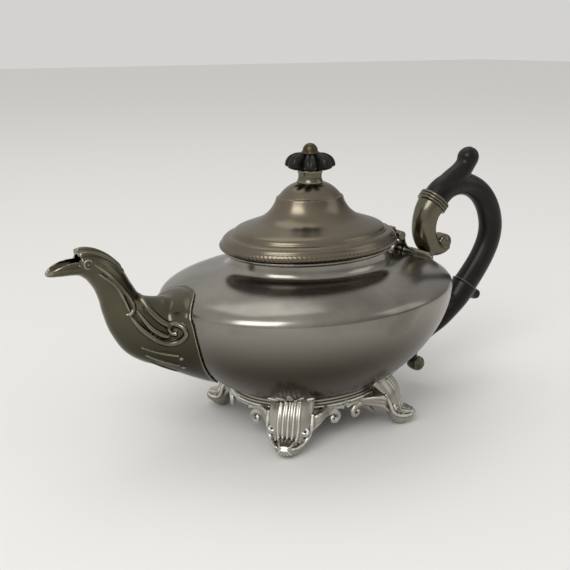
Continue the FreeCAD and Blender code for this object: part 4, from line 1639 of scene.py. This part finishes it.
    @staticmethod
    def volute(side: int) -> Mesh:
        """Spiral on the front of the foot.

        Args:
            side: Side of the foot, 1 or -1.

        Returns:
            The spiral.
        """
        rows = []
        for i, (a, b) in enumerate(spiral(0.5 * math.pi, 1.7 * side, 2.8, 0.6, 40)):
            rows.append((50.0 - 0.45 * b + 0.03 * i, side * 8.4 + a, 13.0 + 0.9 * b,
                         0.9 - 0.004 * i))
        return cord(rows, 90, 12, 1.0, Vector((0.9, 0, 0.42)))

    def apron(self) -> Mesh:
        """Curved band between the feet, arched below.

        Returns:
            The mesh.
        """

        def point(u: float, w: float) -> Vector:
            """Point of the band's squared section.

            Args:
                u: Share of the way round.
                w: Share of the way along.

            Returns:
                The point in millimetres.
            """
            span = -38.7 + 90.0 * w
            low = self.apron_low + self.apron_arch * min(abs(span) / 33.0, 1.0) ** 0.8
            angle = 2 * math.pi * u
            c, s = math.cos(angle), math.sin(angle)
            square = max(abs(c), abs(s))
            middle, half = 0.5 * (low + self.ring_low), 0.5 * (self.ring_low - low)
            radius = self.apron_radius + self.apron_half * c / square
            return Vector((*self.on_ring(span, radius), middle + half * s / square))

        return skin(point, 32, 90)

    def palmette(self) -> list[Mesh]:
        """Leaf that climbs from the foot on to the bowl.

        Returns:
            Its lobes.
        """
        lobes = []
        for lean, height in self.LOBES:
            rows = []
            for k, girth in enumerate(self.LOBE_GIRTHS):
                turn = self.foot_turn + math.radians(lean * (0.55 + 0.2 * k))
                spot, away = self.body.lifted(turn, 25.4 + height * k / 4, 0.1)
                rows.append((*spot, girth))
            lobes.append(cord(rows, 30, 16, 0.6, away))
        return lobes


class Studio:
    """Floor, light and camera."""

    FLOOR_COLOUR = (0.78, 0.77, 0.75, 1)
    SKY_COLOUR = (0.84, 0.83, 0.81, 1)
    SKY_SEEN = 0.78  # strength of the background as the camera sees it
    BRIGHT_SIDE = Vector((-0.55, 0.1, 0.83))
    # Name, place, size and power of each lamp, which looks at AIM.
    LAMPS = [("key", (-1.0, -0.8, 1.2), 0.9, 12.0), ("fill", (1.3, -0.9, 0.8), 0.9, 2.0),
             ("top", (0.1, 0.5, 1.7), 1.0, 3.0)]
    AIM = Vector((0, 0, 0.07))
    CAMERA_PLACE = Vector((-0.23675, -0.36198, 0.20721))
    HEADING = math.radians(31.4)
    PITCH = math.radians(16.79)
    ROLL = math.radians(0.17)
    LENS = 51.55

    def build(self) -> None:
        """Make the stage."""
        self.floor()
        self.lights()
        self.world()
        self.camera()

    def floor(self) -> None:
        """Plain pale floor under the pot."""
        bm = bmesh.new()
        bmesh.ops.create_grid(bm, x_segments=1, y_segments=1, size=6.0)
        ground = placed("floor", baked("floor", bm))
        material, tools, shader = Finish("floor", (0.9, 0.9)).begin()
        tools.fill(shader, {"Base Color": self.FLOOR_COLOUR, "Roughness": 0.9})
        ground.data.materials.append(material)

    def lights(self) -> None:
        """Soft lamps round the pot."""
        for name, place, size, power in self.LAMPS:
            lamp = bpy.data.lights.new(name, "AREA")
            lamp.energy = power
            lamp.size = size
            holder = placed(name, lamp)
            holder.location = place
            aim = self.AIM - Vector(place)
            holder.rotation_euler = aim.to_track_quat("-Z", "Y").to_euler()

    def world(self) -> None:
        """Pale surroundings, brighter from one side."""
        world = bpy.data.worlds.new("surroundings")
        bpy.context.scene.world = world
        world.use_nodes = True
        tools = NodeTools(world.node_tree)
        place = tools.add("ShaderNodeTexCoord")
        toward = tools.add("ShaderNodeVectorMath", {
            0: place.outputs["Generated"], 1: self.BRIGHT_SIDE}, operation="DOT_PRODUCT")
        sweep = tools.ramp(toward.outputs["Value"], -0.75, 0.75, (0.30, 1.0))
        path = tools.add("ShaderNodeLightPath").outputs
        seen = tools.math("MAXIMUM", path["Is Glossy Ray"], path["Is Transmission Ray"])
        strength = tools.math("MULTIPLY", sweep, tools.spread(seen, 0.95, 1.0))
        shown = tools.math("MULTIPLY", path["Is Camera Ray"], self.SKY_SEEN)
        tools.fill(world.node_tree.nodes["Background"], {
            "Color": self.SKY_COLOUR, "Strength": tools.math("MAXIMUM", strength, shown)})

    def camera(self) -> None:
        """Camera at the photograph's viewing angle."""
        lens = bpy.data.cameras.new("camera")
        lens.lens = self.LENS
        lens.sensor_width = 36.0
        eye = placed("camera", lens)
        flat = math.cos(self.PITCH)
        aim = Vector((math.sin(self.HEADING) * flat, math.cos(self.HEADING) * flat,
                      -math.sin(self.PITCH)))
        turn = aim.to_track_quat("-Z", "Y").to_matrix() @ Matrix.Rotation(-self.ROLL, 3, "Z")
        eye.matrix_world = Matrix.Translation(self.CAMERA_PLACE) @ turn.to_4x4()
        bpy.context.scene.camera = eye


def main() -> None:
    """Build the teapot round the frame."""
    logging.basicConfig(level=logging.INFO)
    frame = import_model()
    bpy.context.scene.view_settings.view_transform = "Standard"
    palette = Palette()
    palette.paint_nodes(frame)
    body = PotBody(palette)
    body.build()
    Lid(palette).build()
    Spout(palette, body).build()
    Handle(palette, body).build()
    Base(palette, body).build()
    Studio().build()


if __name__ == "__main__":
    main()
